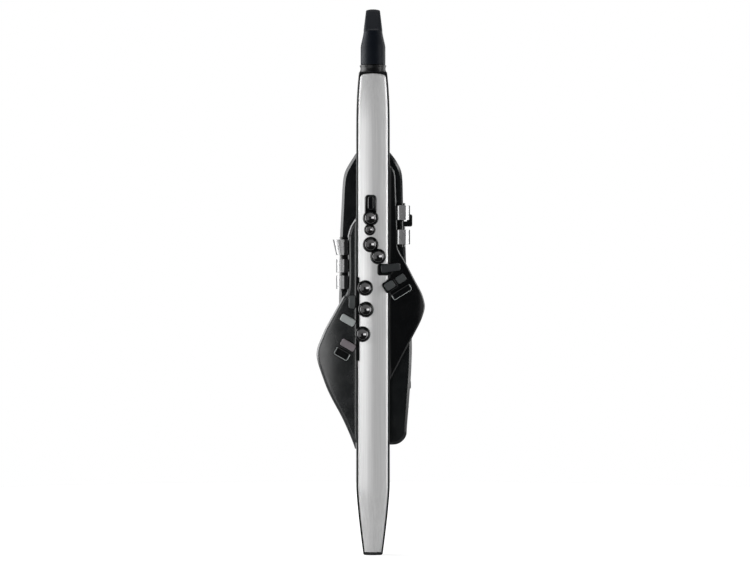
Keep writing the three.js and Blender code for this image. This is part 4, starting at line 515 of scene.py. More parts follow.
def shaped(obj, test, kind="FACE"):
    """Enters edit mode with only the faces or edges that pass a test selected."""
    choose(obj)
    bpy.ops.object.mode_set(mode="EDIT")
    bpy.ops.mesh.select_mode(type=kind)
    bpy.ops.mesh.select_all(action="DESELECT")
    mesh = bmesh.from_edit_mesh(obj.data)
    for part in mesh.faces if kind == "FACE" else mesh.edges:
        part.select_set(test(part))
    bmesh.update_edit_mesh(obj.data)


def leave():
    bpy.ops.object.mode_set(mode="OBJECT")


def modify(obj, kind, **settings):
    """Adds a modifier and applies it."""
    choose(obj)
    modifier = obj.modifiers.new(kind.title(), kind)
    for name, value in settings.items():
        setattr(modifier, name, value)
    bpy.ops.object.modifier_apply(modifier=modifier.name)
    return obj


def combine(obj, others, operation):
    for other in others:
        modify(obj, "BOOLEAN", operation=operation, solver="MANIFOLD", object=other)
        bpy.data.objects.remove(other)
    return obj


def cut(obj, *cutters):
    return combine(obj, cutters, "DIFFERENCE")


def weld(obj, *others):
    return combine(obj, others, "UNION")


def soften(obj, width, segments=3, degrees=35):
    """Rounds the edges that are sharper than an angle."""
    return modify(obj, "BEVEL", width=width, segments=segments, limit_method="ANGLE",
                  angle_limit=math.radians(degrees))


def split_faces(obj):
    """Splits many-sided faces, some of which are pierced, into triangles."""
    shaped(obj, lambda face: len(face.verts) > 4)
    bpy.ops.mesh.quads_convert_to_tris(ngon_method="BEAUTY")
    leave()
    return obj


def soften_front(obj, front, width, segments):
    """Rounds the edges that border the flat front of a piece."""
    def at_front(edge):
        flat = all(abs(vertex.co.y - front) < FINE for vertex in edge.verts)
        return flat and any(abs(face.normal.y) < SLANTED for face in edge.link_faces)
    split_faces(obj)
    shaped(obj, at_front, "EDGE")
    bpy.ops.mesh.bevel(offset=width, segments=segments, profile=0.5)
    leave()
    return obj


def tidy(obj):
    """Merges doubled points and turns all faces out."""
    shaped(obj, lambda face: True)
    bpy.ops.mesh.remove_doubles(threshold=FINE)
    bpy.ops.mesh.normals_make_consistent(inside=False)
    leave()
    return obj


def linked(name, data):
    """A new object in the scene."""
    obj = bpy.data.objects.new(name, data)
    bpy.context.scene.collection.objects.link(obj)
    return obj


def bare(name, points, edges=(), faces=()):
    """A new object from bare points, edges and faces."""
    mesh = bpy.data.meshes.new(name)
    mesh.from_pydata(points, edges, faces)
    return linked(name, mesh)


def skin(rings):
    """A closed surface over rings of equal length, with a flat face at each end."""
    count = len(rings[0])
    last = count * (len(rings) - 1)
    faces = [(start + i, start + (i + 1) % count, start + count + (i + 1) % count, start + count + i)
             for start in range(0, last, count) for i in range(count)]
    faces += [tuple(reversed(range(count))), tuple(range(last, last + count))]
    return tidy(bare("skin", [point for ring in rings for point in ring], faces=faces))


def rounded_block(low, high, corner, axis=Y):
    """A box whose four long edges, along one axis, are rounded."""
    slab = block(low, high)
    shaped(slab, lambda edge: abs((edge.verts[0].co - edge.verts[1].co).normalized()[axis]) > FACING, "EDGE")
    bpy.ops.mesh.bevel(offset=corner, segments=CORNER_STEPS)
    leave()
    return slab


def finished(obj, name, node, finish, smooth):
    """Names a piece, gives it its finish and seats it on the body of the node that it stands for."""
    obj.name = name
    obj.data.name = name
    choose(obj)
    bpy.ops.object.shade_smooth_by_angle(angle=math.radians(smooth))
    modify(obj, "WEIGHTED_NORMAL", keep_sharp=True)
    obj.data.materials.clear()
    obj.data.materials.append(MATERIALS[finish])
    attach(obj, BODY_OF[node])
    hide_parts(node)


def faces_where(obj, test):
    return [face.index for face in obj.data.polygons if test(face)]


def painted(obj, faces, finish):
    """Gives some faces of a piece another material: the screen its own colour, and the table, side and palm
    keys their painted highlight and painted shade.
    """
    if faces:
        obj.data.materials.append(MATERIALS[finish])
    for i in faces:
        obj.data.polygons[i].material_index = len(obj.data.materials) - 1


def centre_of(node):
    low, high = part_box(node)
    return (low + high) / 2


def border(width):
    """A step of the same width across and up."""
    return Vector((width, 0, width))


def half_height(node):
    low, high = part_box(node)
    return (high.z - low.z) / 2


# Sections and outlines

def spread(low, high, steps):
    return [low + (high - low) * i / steps for i in range(steps + 1)]


def arc(x, y, radius, start, end):
    return [(x + radius * math.cos(a), y + radius * math.sin(a)) for a in spread(start, end, ARC_STEPS)]


def rounded_rim(radius, top, edge):
    """The rounded edge in the profile of a turned piece."""
    return [(radius - edge + x, top - edge + y) for x, y in arc(0, 0, edge, 0, math.pi / 2)]


def signed_power(value, power):
    return math.copysign(abs(value) ** power, value)


def body_section(z):
    """Half width, front and back of the body at a height."""
    body = sizes("body")
    foot = max(0, 1 - z / body.foot_taper) ** FOOT_EASE
    neck = max(0, (z - body.top - body.gap + body.neck_taper) / body.neck_taper) ** NECK_EASE
    full = (body.half_width, body.front, body.back)
    at_foot = (body.foot_half_width, body.foot_front, body.foot_back)
    at_neck = (body.neck_half_width, body.neck_front, body.neck_back)
    return [a - (a - b) * foot - (a - c) * neck for a, b, c in zip(full, at_foot, at_neck)]


def lean(z):
    body = sizes("body")
    share = max(0, z - MOUTH_HIGH.z + body.lean_length) / body.lean_length
    return body.lean_back * share * share


def body_heights(low, high):
    """Heights of the body's sections, close together where it tapers or leans."""
    body = sizes("body")
    taper_top = min(body.foot_taper, high)
    taper_bottom = body.top - body.neck_taper
    end = high - body.bridge - body.corner_height
    heights = spread(low, taper_top, FOOT_STEPS) + spread(taper_top, taper_bottom, BODY_STEPS)[1:]
    heights += spread(taper_bottom, end, NECK_STEPS)[1:]
    heights += [end + body.corner_height * math.sin(a) for a in spread(0, math.pi / 2, END_STEPS)][1:]
    return heights


def drawn_in(z):
    """How far the panel's edge is drawn in at its rounded top end."""
    body = sizes("body")
    into = min(1, max(0, (z - PANEL_HIGH.z + body.bridge + body.corner_height) / body.corner_height))
    return body.corner_width * (1 - math.sqrt(1 - into * into))


def back_arc(half, back, side_back):
    points = []
    for angle in spread(0, math.pi, BACK_STEPS)[1:-1]:
        across, deep = signed_power(math.cos(angle), BACK_POWER), math.sin(angle) ** BACK_POWER
        points.append((half * across, side_back + (back - side_back) * deep))
    return points


def channel_outline(z):
    """The body's own section: a channel with a lip on each side of the panel."""
    body = sizes("body")
    half, front, back = body_section(z)
    top = body.crown - front
    ledge = top + body.panel_thick + body.gap
    inner = half - body.wall
    seat = half - body.lip + body.gap - drawn_in(z)
    lip_arc = arc(half - body.lip, top + body.lip, body.lip, -math.pi / 2, 0)
    right = [(inner, ledge), (seat, ledge), (seat, top)] + lip_arc + [(half, body.side_back)]
    left = [(-x, y) for x, y in reversed(right)]
    inside = [(inner, body.side_back)] + back_arc(inner, back - body.wall, body.side_back)
    inside += [(-inner, body.side_back)]
    outside = back_arc(half, back, body.side_back)
    return right + outside + left + list(reversed(inside))


def solid_outline(z, grow):
    """The body's whole section with nothing cut out of it, grown all round."""
    body = sizes("body")
    half, front, back = body_section(z)
    top = body.crown - front
    edge = half - body.lip
    crown = [(edge * s, -front - grow + body.crown * s * s) for s in spread(-1, 1, CROWN_STEPS)]
    side = arc(edge, top + body.lip, body.lip + grow, -math.pi / 2, 0)[1:] + [(half + grow, body.side_back)]
    mirrored = [(-x, y) for x, y in reversed(side)]
    return crown + side + back_arc(half + grow, back + grow, body.side_back) + mirrored


def panel_outline(z):
    body = sizes("body")
    half, front, _ = body_section(z)
    half -= drawn_in(z)
    edge = half - body.lip
    flat = edge - body.panel_edge
    across = spread(-flat, flat, PANEL_STEPS)
    crown = [(x, -front + body.crown * (x / edge) ** 2) for x in across]
    turn = [(flat + body.panel_edge * x, crown[-1][1] + body.panel_edge_depth * y) for x, y in PANEL_EDGE]
    bottom = max(body.crown - front + body.panel_thick, turn[-1][1] + body.gap)
    right = turn + [(edge, bottom)]
    left = [(-x, y) for x, y in reversed(right)]
    under = [(x, y + body.panel_thick) for x, y in reversed(crown)][2:-2:4]
    return crown + right + under + left


def standing(outline, heights):
    """A skin over a section that is repeated up the leaning body."""
    return skin([[(x, y + lean(z), z) for x, y in outline(z)] for z in heights])


def smooth_line(points, steps):
    """A soft curve through points of an open outline."""
    line = [Vector(points[0])]
    ends = [points[0], *points, points[-1]]
    for a, b, c, d in zip(ends, ends[1:], ends[2:], ends[3:]):
        a, b, c, d = (Vector(p) for p in (a, b, c, d))
        for t in spread(0, 1, steps)[1:]:
            line.append(0.5 * ((2 * b) + (c - a) * t + (2 * a - 5 * b + 4 * c - d) * t * t
                               + (3 * b - a - 3 * c + d) * t ** 3))
    return line


def inward(line, i):
    """The direction square to an outline that points into the shape."""
    along = (line[min(i + 1, len(line) - 1)] - line[max(i - 1, 0)]).normalized()
    return Vector((along.y, -along.x))


def wing_front(x, reach):
    """Where a wing's front face lies at a distance from the middle."""
    body, wing = sizes("body"), sizes("wing")
    out = max(0, (abs(x) - body.half_width) / (reach - body.half_width))
    return LEFT_WING_HIGH.y - wing.depth + wing.fall * out ** wing.curl


def wing_skin(shares, low, high, side):
    """One wing: sections from the body's side out to the outline, one below the other."""
    body, wing = sizes("body"), sizes("wing")
    reach = max(abs(low.x), abs(high.x))
    inner = body.half_width + body.gap
    middle, tall = (low.z + high.z) / 2, (high.z - low.z) / 2
    fine = smooth_line(shares, WING_STEPS)
    round_edge = wing.edge if side < 0 else wing.sharp_edge
    start = Vector((round_edge / 4, 0))

    def outline(inset):
        return [start + Vector((inner + p.x * (reach - inner - inset),
                                middle + (p.y * 2 - 1) * (tall - inset))) for p in fine]

    edge = outline(0)
    sides = [(outline(wing.draw_in * inset), gone) for inset, gone in WING_SIDE_SHARES]
    rings = []
    for i, point in enumerate(edge):
        turn = [(round_edge * (1 - math.sin(a)), round_edge * (1 - math.cos(a)))
                for a in spread(0, math.pi / 2, ARC_STEPS)]
        rim = []
        for inset, down in turn:
            place = point + inward(edge, i) * min(inset, (point.x - inner) * EDGE_SHARE)
            rim.append((place, wing_front(place.x, reach) + down))
        first = rim[0][0]
        bead = min(wing.bead_width, (first.x - inner) / 2)
        face = [(inner + bead + (first.x - inner - bead) * s, point.y + (first.y - point.y) * s)
                for s in spread(0, 1, FRONT_STEPS)[:-1]]
        ring = [(inner * side, wing_front(inner, reach) - wing.bead, point.y)]
        ring += [(x * side, wing_front(x, reach), z) for x, z in face]
        ring += [(place.x * side, y, place.y) for place, y in rim]
        for line, gone in sides:
            y = wing_front(line[i].x, reach) * (1 - gone) + high.y * gone
            ring.append((line[i].x * side, y, line[i].y))
        ring.append((inner * side, high.y, sides[-1][0][i].y))
        rings.append(ring)
    return skin(rings)


def housing_ring(inset, y):
    low, high = HOUSING_LOW, HOUSING_HIGH
    middle = (low.z + high.z) / 2
    tall = (high.z - low.z) / 2 - inset
    ring = []
    for shares, reach in ((LEFT_HOUSING_SHARES, low.x + inset), (RIGHT_HOUSING_SHARES, high.x - inset)):
        points = [(x * reach, middle + (z * 2 - 1) * tall) for x, z in shares]
        ring += [(p.x, y, p.y) for p in smooth_line(points, HOUSING_STEPS)]
    return ring


def housing_skin(grow, shares=HOUSING_SIDE_SHARES):
    draw_in = sizes("wing").housing_draw_in
    front, back = HOUSING_LOW.y - grow, HOUSING_HIGH.y + grow
    return skin([housing_ring(inset * draw_in - grow, front + (back - front) * gone)
                 for inset, gone in shares])


def turned(points, centre, axis, sides=ROUND):
    """A round piece from points of (radius, place along its axis), spun about an axis through a centre."""
    corners = []
    for radius, along in points:
        corner = Vector(centre)
        corner[axis] = along
        corner[Z if axis == X else X] += radius
        corners.append(corner)
    count = len(corners)
    closed = points[0][0] > 0
    edges = [(i, (i + 1) % count) for i in range(count if closed else count - 1)]
    obj = bare("turned", corners, edges)
    shaped(obj, lambda edge: True, "EDGE")
    direction = [float(place == axis) for place in (X, Y, Z)]
    bpy.ops.mesh.spin(steps=sides, angle=2 * math.pi, center=centre, axis=direction)
    leave()
    return tidy(obj)


# Shader node helpers and shared effects

def node(tree, kind, *values, **named):
    """Adds a shader node. Bare values and sockets go to its inputs in order, named ones by name."""
    made = tree.nodes.new("ShaderNode" + kind)
    for name, value in named.items():
        label = name.replace("_", " ")
        if label in made.inputs:
            wire(tree, value, made.inputs[label])
        else:
            setattr(made, name, value)
    for value, socket in zip(values, made.inputs):
        wire(tree, value, socket)
    return made


def wire(tree, value, socket):
    if isinstance(value, bpy.types.NodeSocket):
        tree.links.new(value, socket)
    else:
        socket.default_value = value


def worked(tree, operation, *values):
    """The outcome of a sum, product or the like."""
    return node(tree, "Math", *values, operation=operation).outputs[0]


def soft_step(tree, value, *span):
    """A value brought from one span softly into another."""
    return node(tree, "MapRange", value, *span, interpolation_type="SMOOTHSTEP").outputs[0]


def new_effect(name, inputs, outputs):
    group = bpy.data.node_groups.new(name, "ShaderNodeTree")
    for label, default in inputs.items():
        socket = group.interface.new_socket(label, in_out="INPUT", socket_type="NodeSocketFloat")
        socket.default_value = default
    for label in outputs:
        group.interface.new_socket(label, in_out="OUTPUT", socket_type="NodeSocketFloat")
    return group, group.nodes.new("NodeGroupInput").outputs, group.nodes.new("NodeGroupOutput").inputs


def brushed_lines():
    """Fine lines that run up the piece, as a mask around one half."""
    tree, given, out = new_effect("Brushed Lines", {"Fineness": 3000, "Length": 12}, ["Lines"])
    place = node(tree, "TexCoord").outputs["Object"]
    stretch = node(tree, "CombineXYZ", given["Fineness"], given["Fineness"], given["Length"])
    scaled = node(tree, "VectorMath", place, stretch.outputs[0], operation="MULTIPLY")
    noise = node(tree, "TexNoise", Vector=scaled.outputs[0], Scale=1, Detail=2, Roughness=0.6)
    tree.links.new(noise.outputs["Fac"], out["Lines"])
    return tree


def fine_grain():
    """Moulded texture: a fine noise, and a slow one for uneven gloss."""
    tree, given, out = new_effect("Fine Grain", {"Fineness": 4000, "Patch": 60}, ["Grain", "Patches"])
    place = node(tree, "TexCoord").outputs["Object"]
    grain = node(tree, "TexNoise", Vector=place, Scale=given["Fineness"], Detail=1, Roughness=0.5)
    patch = node(tree, "TexNoise", Vector=place, Scale=given["Patch"], Detail=4, Roughness=0.55)
    tree.links.new(grain.outputs["Fac"], out["Grain"])
    tree.links.new(patch.outputs["Fac"], out["Patches"])
    return tree


def handling():
    """Faint smears from handling, as a mask."""
    tree, given, out = new_effect("Handling", {"Smears": 35}, ["Smear"])
    place = node(tree, "TexCoord").outputs["Object"]
    smear = node(tree, "TexNoise", Vector=place, Scale=given["Smears"], Detail=5, Roughness=0.65,
                 Distortion=0.8)
    tree.links.new(soft_step(tree, smear.outputs["Fac"], *SMEAR_SPAN, 0.0, 1.0), out["Smear"])
    return tree


EFFECTS = {}


def effect(tree, name, **values):
    """Places a shared effect in a material with its own values."""
    made = tree.nodes.new("ShaderNodeGroup")
    made.node_tree = EFFECTS[name]
    for label, value in values.items():
        made.inputs[label].default_value = value
    return made.outputs


def between(tree, mask, low, high):
    return node(tree, "MapRange", mask, *MASK_SPAN, low, high).outputs[0]


def toned(tree, mask, colour_value, change):
    """A colour that a mask makes a little darker and lighter."""
    dark = [c * (1 - change) for c in colour_value] + [1]
    light = [min(1, c * (1 + change)) for c in colour_value] + [1]
    mix = node(tree, "Mix", data_type="RGBA")
    wire(tree, mask, mix.inputs[0])
    wire(tree, dark, mix.inputs[6])
    wire(tree, light, mix.inputs[7])
    return mix.outputs[2]


def bumped(tree, height, distance):
    return node(tree, "Bump", Strength=1, Distance=distance, Height=height).outputs[0]


def new_material(name, **constants):
    """A material with its shader, and the constants that belong on the shader's own sockets."""
    material = bpy.data.materials.new(name)
    material.use_nodes = True
    tree = material.node_tree
    shader = tree.nodes["Principled BSDF"]
    for label, value in constants.items():
        shader.inputs[label.replace("_", " ")].default_value = value
    return material, tree, shader.inputs


# Materials

def brushed_silver(colours):
    material, tree, shader = new_material("Brushed Silver")
    lines = effect(tree, "Brushed Lines", Fineness=1400, Length=14)["Lines"]
    coarse = effect(tree, "Brushed Lines", Fineness=420, Length=4)["Lines"]
    half = worked(tree, "MULTIPLY", worked(tree, "ADD", lines, coarse), 0.5)
    wire(tree, toned(tree, half, colours.silver, 0.25), shader["Base Color"])
    wire(tree, between(tree, half, 0.33, 0.45), shader["Roughness"])
    wire(tree, between(tree, coarse, 0.28, 0.42), shader["Metallic"])
    wire(tree, bumped(tree, half, 0.00005), shader["Normal"])
    return material


def plastic(name, colour_value, low, high, grain, grain_depth, change=0.1, **constants):
    """A moulded plastic with a grain of its own, uneven gloss and faint handling marks."""
    material, tree, shader = new_material(name, **constants)
    surface = effect(tree, "Fine Grain", Fineness=grain)
    marks = effect(tree, "Handling")
    uneven = worked(tree, "MULTIPLY", surface["Patches"], marks["Smear"])
    mixed = worked(tree, "ADD", surface["Patches"], uneven)
    wire(tree, toned(tree, surface["Grain"], colour_value, change), shader["Base Color"])
    wire(tree, between(tree, mixed, low, high), shader["Roughness"])
    wire(tree, bumped(tree, surface["Grain"], grain_depth), shader["Normal"])
    return material


def metal(name, colour_value, low, high, metallic=1.0, depth=0.000008):
    """A turned or pressed metal with faint lines and smears."""
    material, tree, shader = new_material(name, Metallic=metallic)
    lines = effect(tree, "Brushed Lines", Fineness=1500, Length=150)["Lines"]
    marks = effect(tree, "Handling", Smears=60)
    wire(tree, toned(tree, lines, colour_value, 0.05), shader["Base Color"])
    wire(tree, between(tree, marks["Smear"], low, high), shader["Roughness"])
    wire(tree, bumped(tree, lines, depth), shader["Normal"])
    return material


MATERIALS = {}


def make_materials():
    colours = sizes("colours")
    EFFECTS.update({
        "Brushed Lines": brushed_lines(), "Fine Grain": fine_grain(), "Handling": handling()})
    MATERIALS.update({
        "silver": brushed_silver(colours),
        "black_gloss": plastic("Black Gloss", colours.black_gloss, 0.09, 0.16, 500, 0.000004, IOR=1.7),
        "graphite": plastic("Graphite", colours.graphite, 0.2, 0.28, 2500, 0.000006, IOR=1.6),
        "black_satin_and_shade": plastic("Black Satin", colours.black_satin_and_shade, 0.32, 0.42, 3000, 0.00001, IOR=1.35),
        "housing": plastic("Housing", colours.housing, 0.16, 0.24, 3000, 0.000006, IOR=1.5),
        "pearl": plastic("Key Metal", colours.pearl, 0.07, 0.12, 600, 0.000001, 0.03, Metallic=1.0),
        "dark_key": plastic("Dark Key", colours.dark_key, 0.3, 0.4, 2600, 0.00002, 0.3),
        "grey_key": plastic("Grey Key", colours.grey_key, 0.36, 0.46, 2600, 0.00002, 0.25),
        "light_key_and_highlight": plastic("Light Key", colours.light_key_and_highlight, 0.36, 0.46, 2600, 0.00002, 0.2),
        "warm_key": plastic("Warm Key", colours.warm_key, 0.36, 0.46, 2600, 0.00002, 0.2),
        "key_silver": metal("Key Silver", colours.key_silver, 0.26, 0.32, 0.6, depth=0.000001),
        "chrome": metal("Satin Chrome", colours.chrome, 0.16, 0.22, depth=0.000002),
        "mouthpiece": plastic("Mouthpiece", colours.mouthpiece, 0.4, 0.5, 1500, 0.000006, IOR=1.19),
        "rubber": plastic("Rubber", colours.rubber, 0.6, 0.75, 1800, 0.00004),
        "board": plastic("Board", colours.board, 0.35, 0.5, 1200, 0.00002),
        "cell": metal("Cell", colours.cell, 0.3, 0.4, 0.6),
        "glass": plastic("Display Glass", colours.glass, 0.03, 0.06, 400, 0.000001),
        "screen": plastic("Screen", colours.screen, 0.06, 0.1, 400, 0.000001),
    })


# Cutters and measures that several pieces share

def laid_box(name, angle):
    """Corners of a turned key before its turn, about its own middle, and that middle."""
    middle = centre_of(name)
    c, s = math.cos(angle), math.sin(angle)
    across, up, deep = [], [], []
    for vertex in frame["nodes"][name].data.vertices:
        x, z = vertex.co.x - middle.x, vertex.co.z - middle.z
        across.append(x * c + z * s)
        up.append(z * c - x * s)
        deep.append(vertex.co.y)
    low = Vector((min(across) + middle.x, min(deep), min(up) + middle.z))
    high = Vector((max(across) + middle.x, max(deep), max(up) + middle.z))
    return low, high, middle


def table_turn(name):
    keys = sizes("keys")
    turns = {"g_sharp_key": keys.g_sharp_turn, "side_f_sharp_key": 0}
    return turns.get(name, keys.left_turn if name in LEFT_TABLE else keys.right_turn)


def turned_slab(low, high, corner, angle, middle):
    return rotated(rounded_block(low, high, corner), angle, middle)


def rotated(obj, angle, middle):
    """Turns a mesh about the Y axis through a point, its right end up as seen from the front."""
    c, s = math.cos(angle), math.sin(angle)
    for vertex in obj.data.vertices:
        x, z = vertex.co.x - middle.x, vertex.co.z - middle.z
        vertex.co.x = middle.x + x * c - z * s
        vertex.co.z = middle.z + x * s + z * c
    return obj


def table_well(name):
    keys = sizes("keys")
    low, high, middle = laid_box(name, table_turn(name))
    low, high = low - border(keys.table_gap), high + border(keys.table_gap)
    low.y -= OVERRUN
    high.y += keys.well_below
    return turned_slab(low, high, keys.table_round + keys.table_gap, table_turn(name), middle)


def rim_radius(key):
    """Radius of a finger key and width of the rim round it."""
    keys = sizes("keys")
    low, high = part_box(key)
    small = high.x - low.x < 2 * keys.small_key
    return (high.x - low.x) / 2, keys.small_rim if small else keys.rim


def rim_blank(group, grow):
    """The rims of one group of keys, before their wells are cut."""
    body, keys = sizes("body"), sizes("keys")
    low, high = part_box(group)
    front, back = low.y - (OVERRUN if grow else 0), high.y + grow
    parts = []
    for key in RIM_GROUPS[group]:
        middle = centre_of(key)
        parts.append(cylinder(sum(rim_radius(key)) + grow, middle, Y, front, back))
    if group in STRIP_ENDS:
        top, bottom = (middle.z + end for end in STRIP_ENDS[group])
        strip_front = front if grow else low.y + keys.strip_down
        parts.append(block((-body.half_width - grow, strip_front, bottom - grow),
                           (keys.strip_inner + grow, back, top + grow)))
    if group == "b_key_rim":
        low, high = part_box("front_f_key")
        wide = keys.pill_rim + grow
        parts.append(rounded_block((low.x - wide, front, centre_of("b_key").z),
                                   (high.x + wide, back, high.z + keys.pill_top + grow),
                                   keys.pill_corner + grow))
    return weld(*parts)


def long_bar(key, grow, front, back):
    """An upright bar with round ends in the place of a key, grown all round."""
    low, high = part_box(key)
    middle = centre_of(key)
    radius = (high.x - low.x) / 2 + grow
    reach = (high.z - low.z) / 2 + grow - radius
    bar = cylinder(radius, middle, Y, front, back)
    for vertex in bar.data.vertices:
        above = vertex.co.z - middle.z
        if abs(above) > FINE:
            vertex.co.z += math.copysign(reach, above)
    return bar


def key_well(key, front, back):
    gap = sizes("body").gap
    if key == "front_f_key":
        return long_bar(key, gap, front, back)
    return cylinder(rim_radius(key)[0] + gap, centre_of(key), Y, front, back)


def tab_blanks(grow):
    """The left-hand wing's tabs, which reach into the front panel round two of its keys."""
    body, keys = sizes("body"), sizes("keys")
    front, back = LEFT_WING_LOW.y - (OVERRUN if grow else 0), keys.tab_back + grow
    height = centre_of("g_sharp_key").z - keys.tab_rim
    first = rounded_block(
        (LEFT_WING_LOW.x - grow, front, height - keys.tab_height / 2 - grow),
        (body.half_width + OVERRUN + grow, back, height + keys.tab_height / 2 + grow), keys.tab_round + grow)
    low, high, middle = laid_box("low_c_sharp_key", keys.left_turn)
    rim = border(keys.tab_rim + grow)
    low, high = low - rim, high + rim
    low.y, high.y = front, back
    return [first, turned_slab(low, high, keys.tab_round + grow, keys.left_turn, middle)]


def front_cutters():
    """Everything that passes through the panel and the body's front."""
    gap = sizes("body").gap
    wells = [table_well(key) for key in LEFT_TABLE[:2]]
    return [rim_blank(group, gap) for group in RIM_GROUPS] + tab_blanks(gap) + wells


class Maker:
    """What the operators share: undo, and a plain finished result"""

    bl_options = {"REGISTER", "UNDO"}

    def execute(self, context):
        self.make()
        return {"FINISHED"}


class MakeFrontPanel(Maker, bpy.types.Operator):
    """Adds the brushed front panel, with its holes for the keys"""

    bl_idname = "controller.make_front_panel"
    bl_label = "Front Panel"

    def make(self):
        sheet = standing(panel_outline, body_heights(PANEL_LOW.z, PANEL_HIGH.z))
        cut(sheet, *front_cutters())
        finished(sheet, "front_panel_sheet", "front_panel", "silver", 40)


class MakeBodyChannel(Maker, bpy.types.Operator):
    """Adds the long channel of the body, which carries the panel between its lips"""

    bl_idname = "controller.make_body_channel"
    bl_label = "Body Channel"

    def make(self):
        body = sizes("body")
        channel = standing(channel_outline, body_heights(SPINE_LOW.z, SPINE_HIGH.z))
        plug = neck_plug() + body.gap
        weld(channel, standing(lambda z: solid_outline(z, 0), [body.top - body.bridge, body.top]))
        cut(channel, leant(cylinder(plug, (0, 0, 0), Z, body.top - OVERRUN, body.top + OVERRUN)))
        cut(channel, *front_cutters())
        split_faces(channel)
        finished(channel, "body_channel", "spine_body", "black_satin_and_shade", 40)


class MakeEndCap(Maker, bpy.types.Operator):
    """Adds the cap at the foot, with the plug that fits inside the body"""

    bl_idname = "controller.make_end_cap"
    bl_label = "End Cap"

    def make(self):
        body = sizes("body")
        cap_top = SPINE_LOW.z - body.gap
        levels = [(body.end_round * (1 - math.cos(a)), -body.end_round * (1 - math.sin(a)))
                  for a in spread(0, math.pi / 2, ARC_STEPS)]
        levels += [(cap_top, 0), (cap_top, -body.wall - body.gap)]
        levels += [(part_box("end_cap")[1].z, -body.wall - body.gap)]
        rings = [[(x, y, z) for x, y in solid_outline(z, grow)] for z, grow in levels]
        finished(skin(rings), "foot_cap", "end_cap", "black_gloss", 40)


class MakeNeckCollar(Maker, bpy.types.Operator):
    """Adds the waisted collar between the body and the mouthpiece, with its plug and tenon"""

    bl_idname = "controller.make_neck_collar"
    bl_label = "Neck Collar"

    def make(self):
        body, mouth = sizes("body"), sizes("mouth")
        low, high = body.top + body.gap, MOUTH_LOW.z - body.gap
        height, waist, rim = high - low, mouth.collar_waist, mouth.collar_radius
        plug = neck_plug()
        points = [(mouth.neck_bore, COLLAR_LOW.z), (plug, COLLAR_LOW.z), (plug, low), (body.neck_front, low)]
        for up, out in COLLAR_SHARES:
            points.append((waist + (rim - waist) * out, low + height * up))
        points += [(mouth.tenon_radius, high), (mouth.tenon_radius, COLLAR_HIGH.z),
                   (mouth.neck_bore, COLLAR_HIGH.z)]
        collar = turned(points, (0, 0, 0), Z)
        for vertex in collar.data.vertices:
            up = (vertex.co.z - low) / height / FLARE_END
            if 0 <= up < 1 and vertex.co.xy.length > waist - body.gap:
                vertex.co.x *= 1 + mouth.collar_flare / waist * (1 - up) ** 2
        leant(collar)
        finished(collar, "neck_collar", "neck_socket", "black_satin_and_shade", 35)


def neck_plug():
    body = sizes("body")
    return body.neck_back - body.wall - 2 * body.gap


def leant(obj):
    for vertex in obj.data.vertices:
        vertex.co.y += lean(vertex.co.z)
    return obj


def oval(z, half, front, back, power, arch=0):
    """One ring of the mouthpiece. The arch lets its two sides lie lower than its middle."""
    ring = []
    for angle in spread(0, 2 * math.pi, ROUND)[:-1]:
        c, s = math.cos(angle), math.sin(angle)
        x = half * signed_power(c, 2 / power)
        y = (back - front) / 2 + (back + front) / 2 * signed_power(s, 2 / power)
        ring.append((x, y + lean(z), z - arch * (x / half) ** 2))
    return ring


class MakeMouthpiece(Maker, bpy.types.Operator):
    """Adds the mouthpiece: a round sleeve, a cone and a beak that slopes to a thin tip"""

    bl_idname = "controller.make_mouthpiece"
    bl_label = "Mouthpiece"

    def make(self):
        body, mouth = sizes("body"), sizes("mouth")
        base, tip = MOUTH_LOW.z, MOUTH_HIGH.z + mouth.tip_raise
        radius, edge, half = mouth.radius, mouth.sleeve_edge, mouth.ridge_half_width
        cone = base + mouth.sleeve_length
        ridge = cone + mouth.cone_length
        beak = ridge + mouth.ridge_length
        rings = []
        for a in spread(0, math.pi / 2, ARC_STEPS):
            small = radius - edge * (1 - math.sin(a)) / 2
            rings.append(oval(base + edge * (1 - math.cos(a)), small, small, small, CIRCLE))
        for z in spread(base + edge, cone - edge, SLEEVE_STEPS)[1:]:
            rings.append(oval(z, radius, radius, radius, CIRCLE))
        for up in spread(0, 1, CONE_STEPS)[1:]:
            ease = up * up * (3 - 2 * up) * CONE_CURVE + up * (1 - CONE_CURVE)
            r = radius + (half - radius) * ease
            rings.append(oval(cone - edge + (ridge - cone + edge) * up, r, r, r, CIRCLE + CONE_GAIN * up))
        tip_front = mouth.tip_thick - mouth.reed_table
        beak_front = half - 2 * mouth.tip_round
        ridge_front = half - RIDGE_CUT * mouth.tip_round
        rings.append(oval(ridge + (beak - ridge) * RIDGE_PLACE, half, ridge_front, half, RIDGE_POWER))
        for up in spread(0, BEAK_END, BEAK_STEPS):
            wide = half + (mouth.tip_half_width - half) * up
            front = beak_front + (tip_front - beak_front) * up
            arch = mouth.tip_arch * up ** 4
            rings.append(oval(beak + (tip - beak) * up, wide, front, half, BEAK_POWER, arch))
        wide, front = mouth.tip_half_width - mouth.tip_round / 2, tip_front - mouth.tip_round
        rings.append(oval(tip, wide, front, half, BEAK_POWER, mouth.tip_arch))
        piece = skin(rings)
        bore_end = base + mouth.tenon_length
        bore = leant(cylinder(mouth.tenon_radius + body.gap, (0, 0, 0), Z, base - OVERRUN, bore_end))
        reed_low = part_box("reed")[0]
        table = leant(divided(block((-radius, mouth.reed_table, reed_low.z - body.gap),
                                    (radius, 2 * radius, tip + OVERRUN))))
        wind = leant(divided(block((-mouth.windway / 2, mouth.windway_wall, bore_end - OVERRUN),
                                   (mouth.windway / 2, radius, tip - mouth.windway_end))))
        slot = leant(block((-mouth.windway / 2, mouth.tip_slot, tip - mouth.windway_end - OVERRUN),
                           (mouth.windway / 2, radius, tip - mouth.tip_thick / 2)))
        cut(piece, bore, table, wind, slot)
        split_faces(piece)
        finished(piece, "mouthpiece_body", "mouthpiece", "mouthpiece", 30)


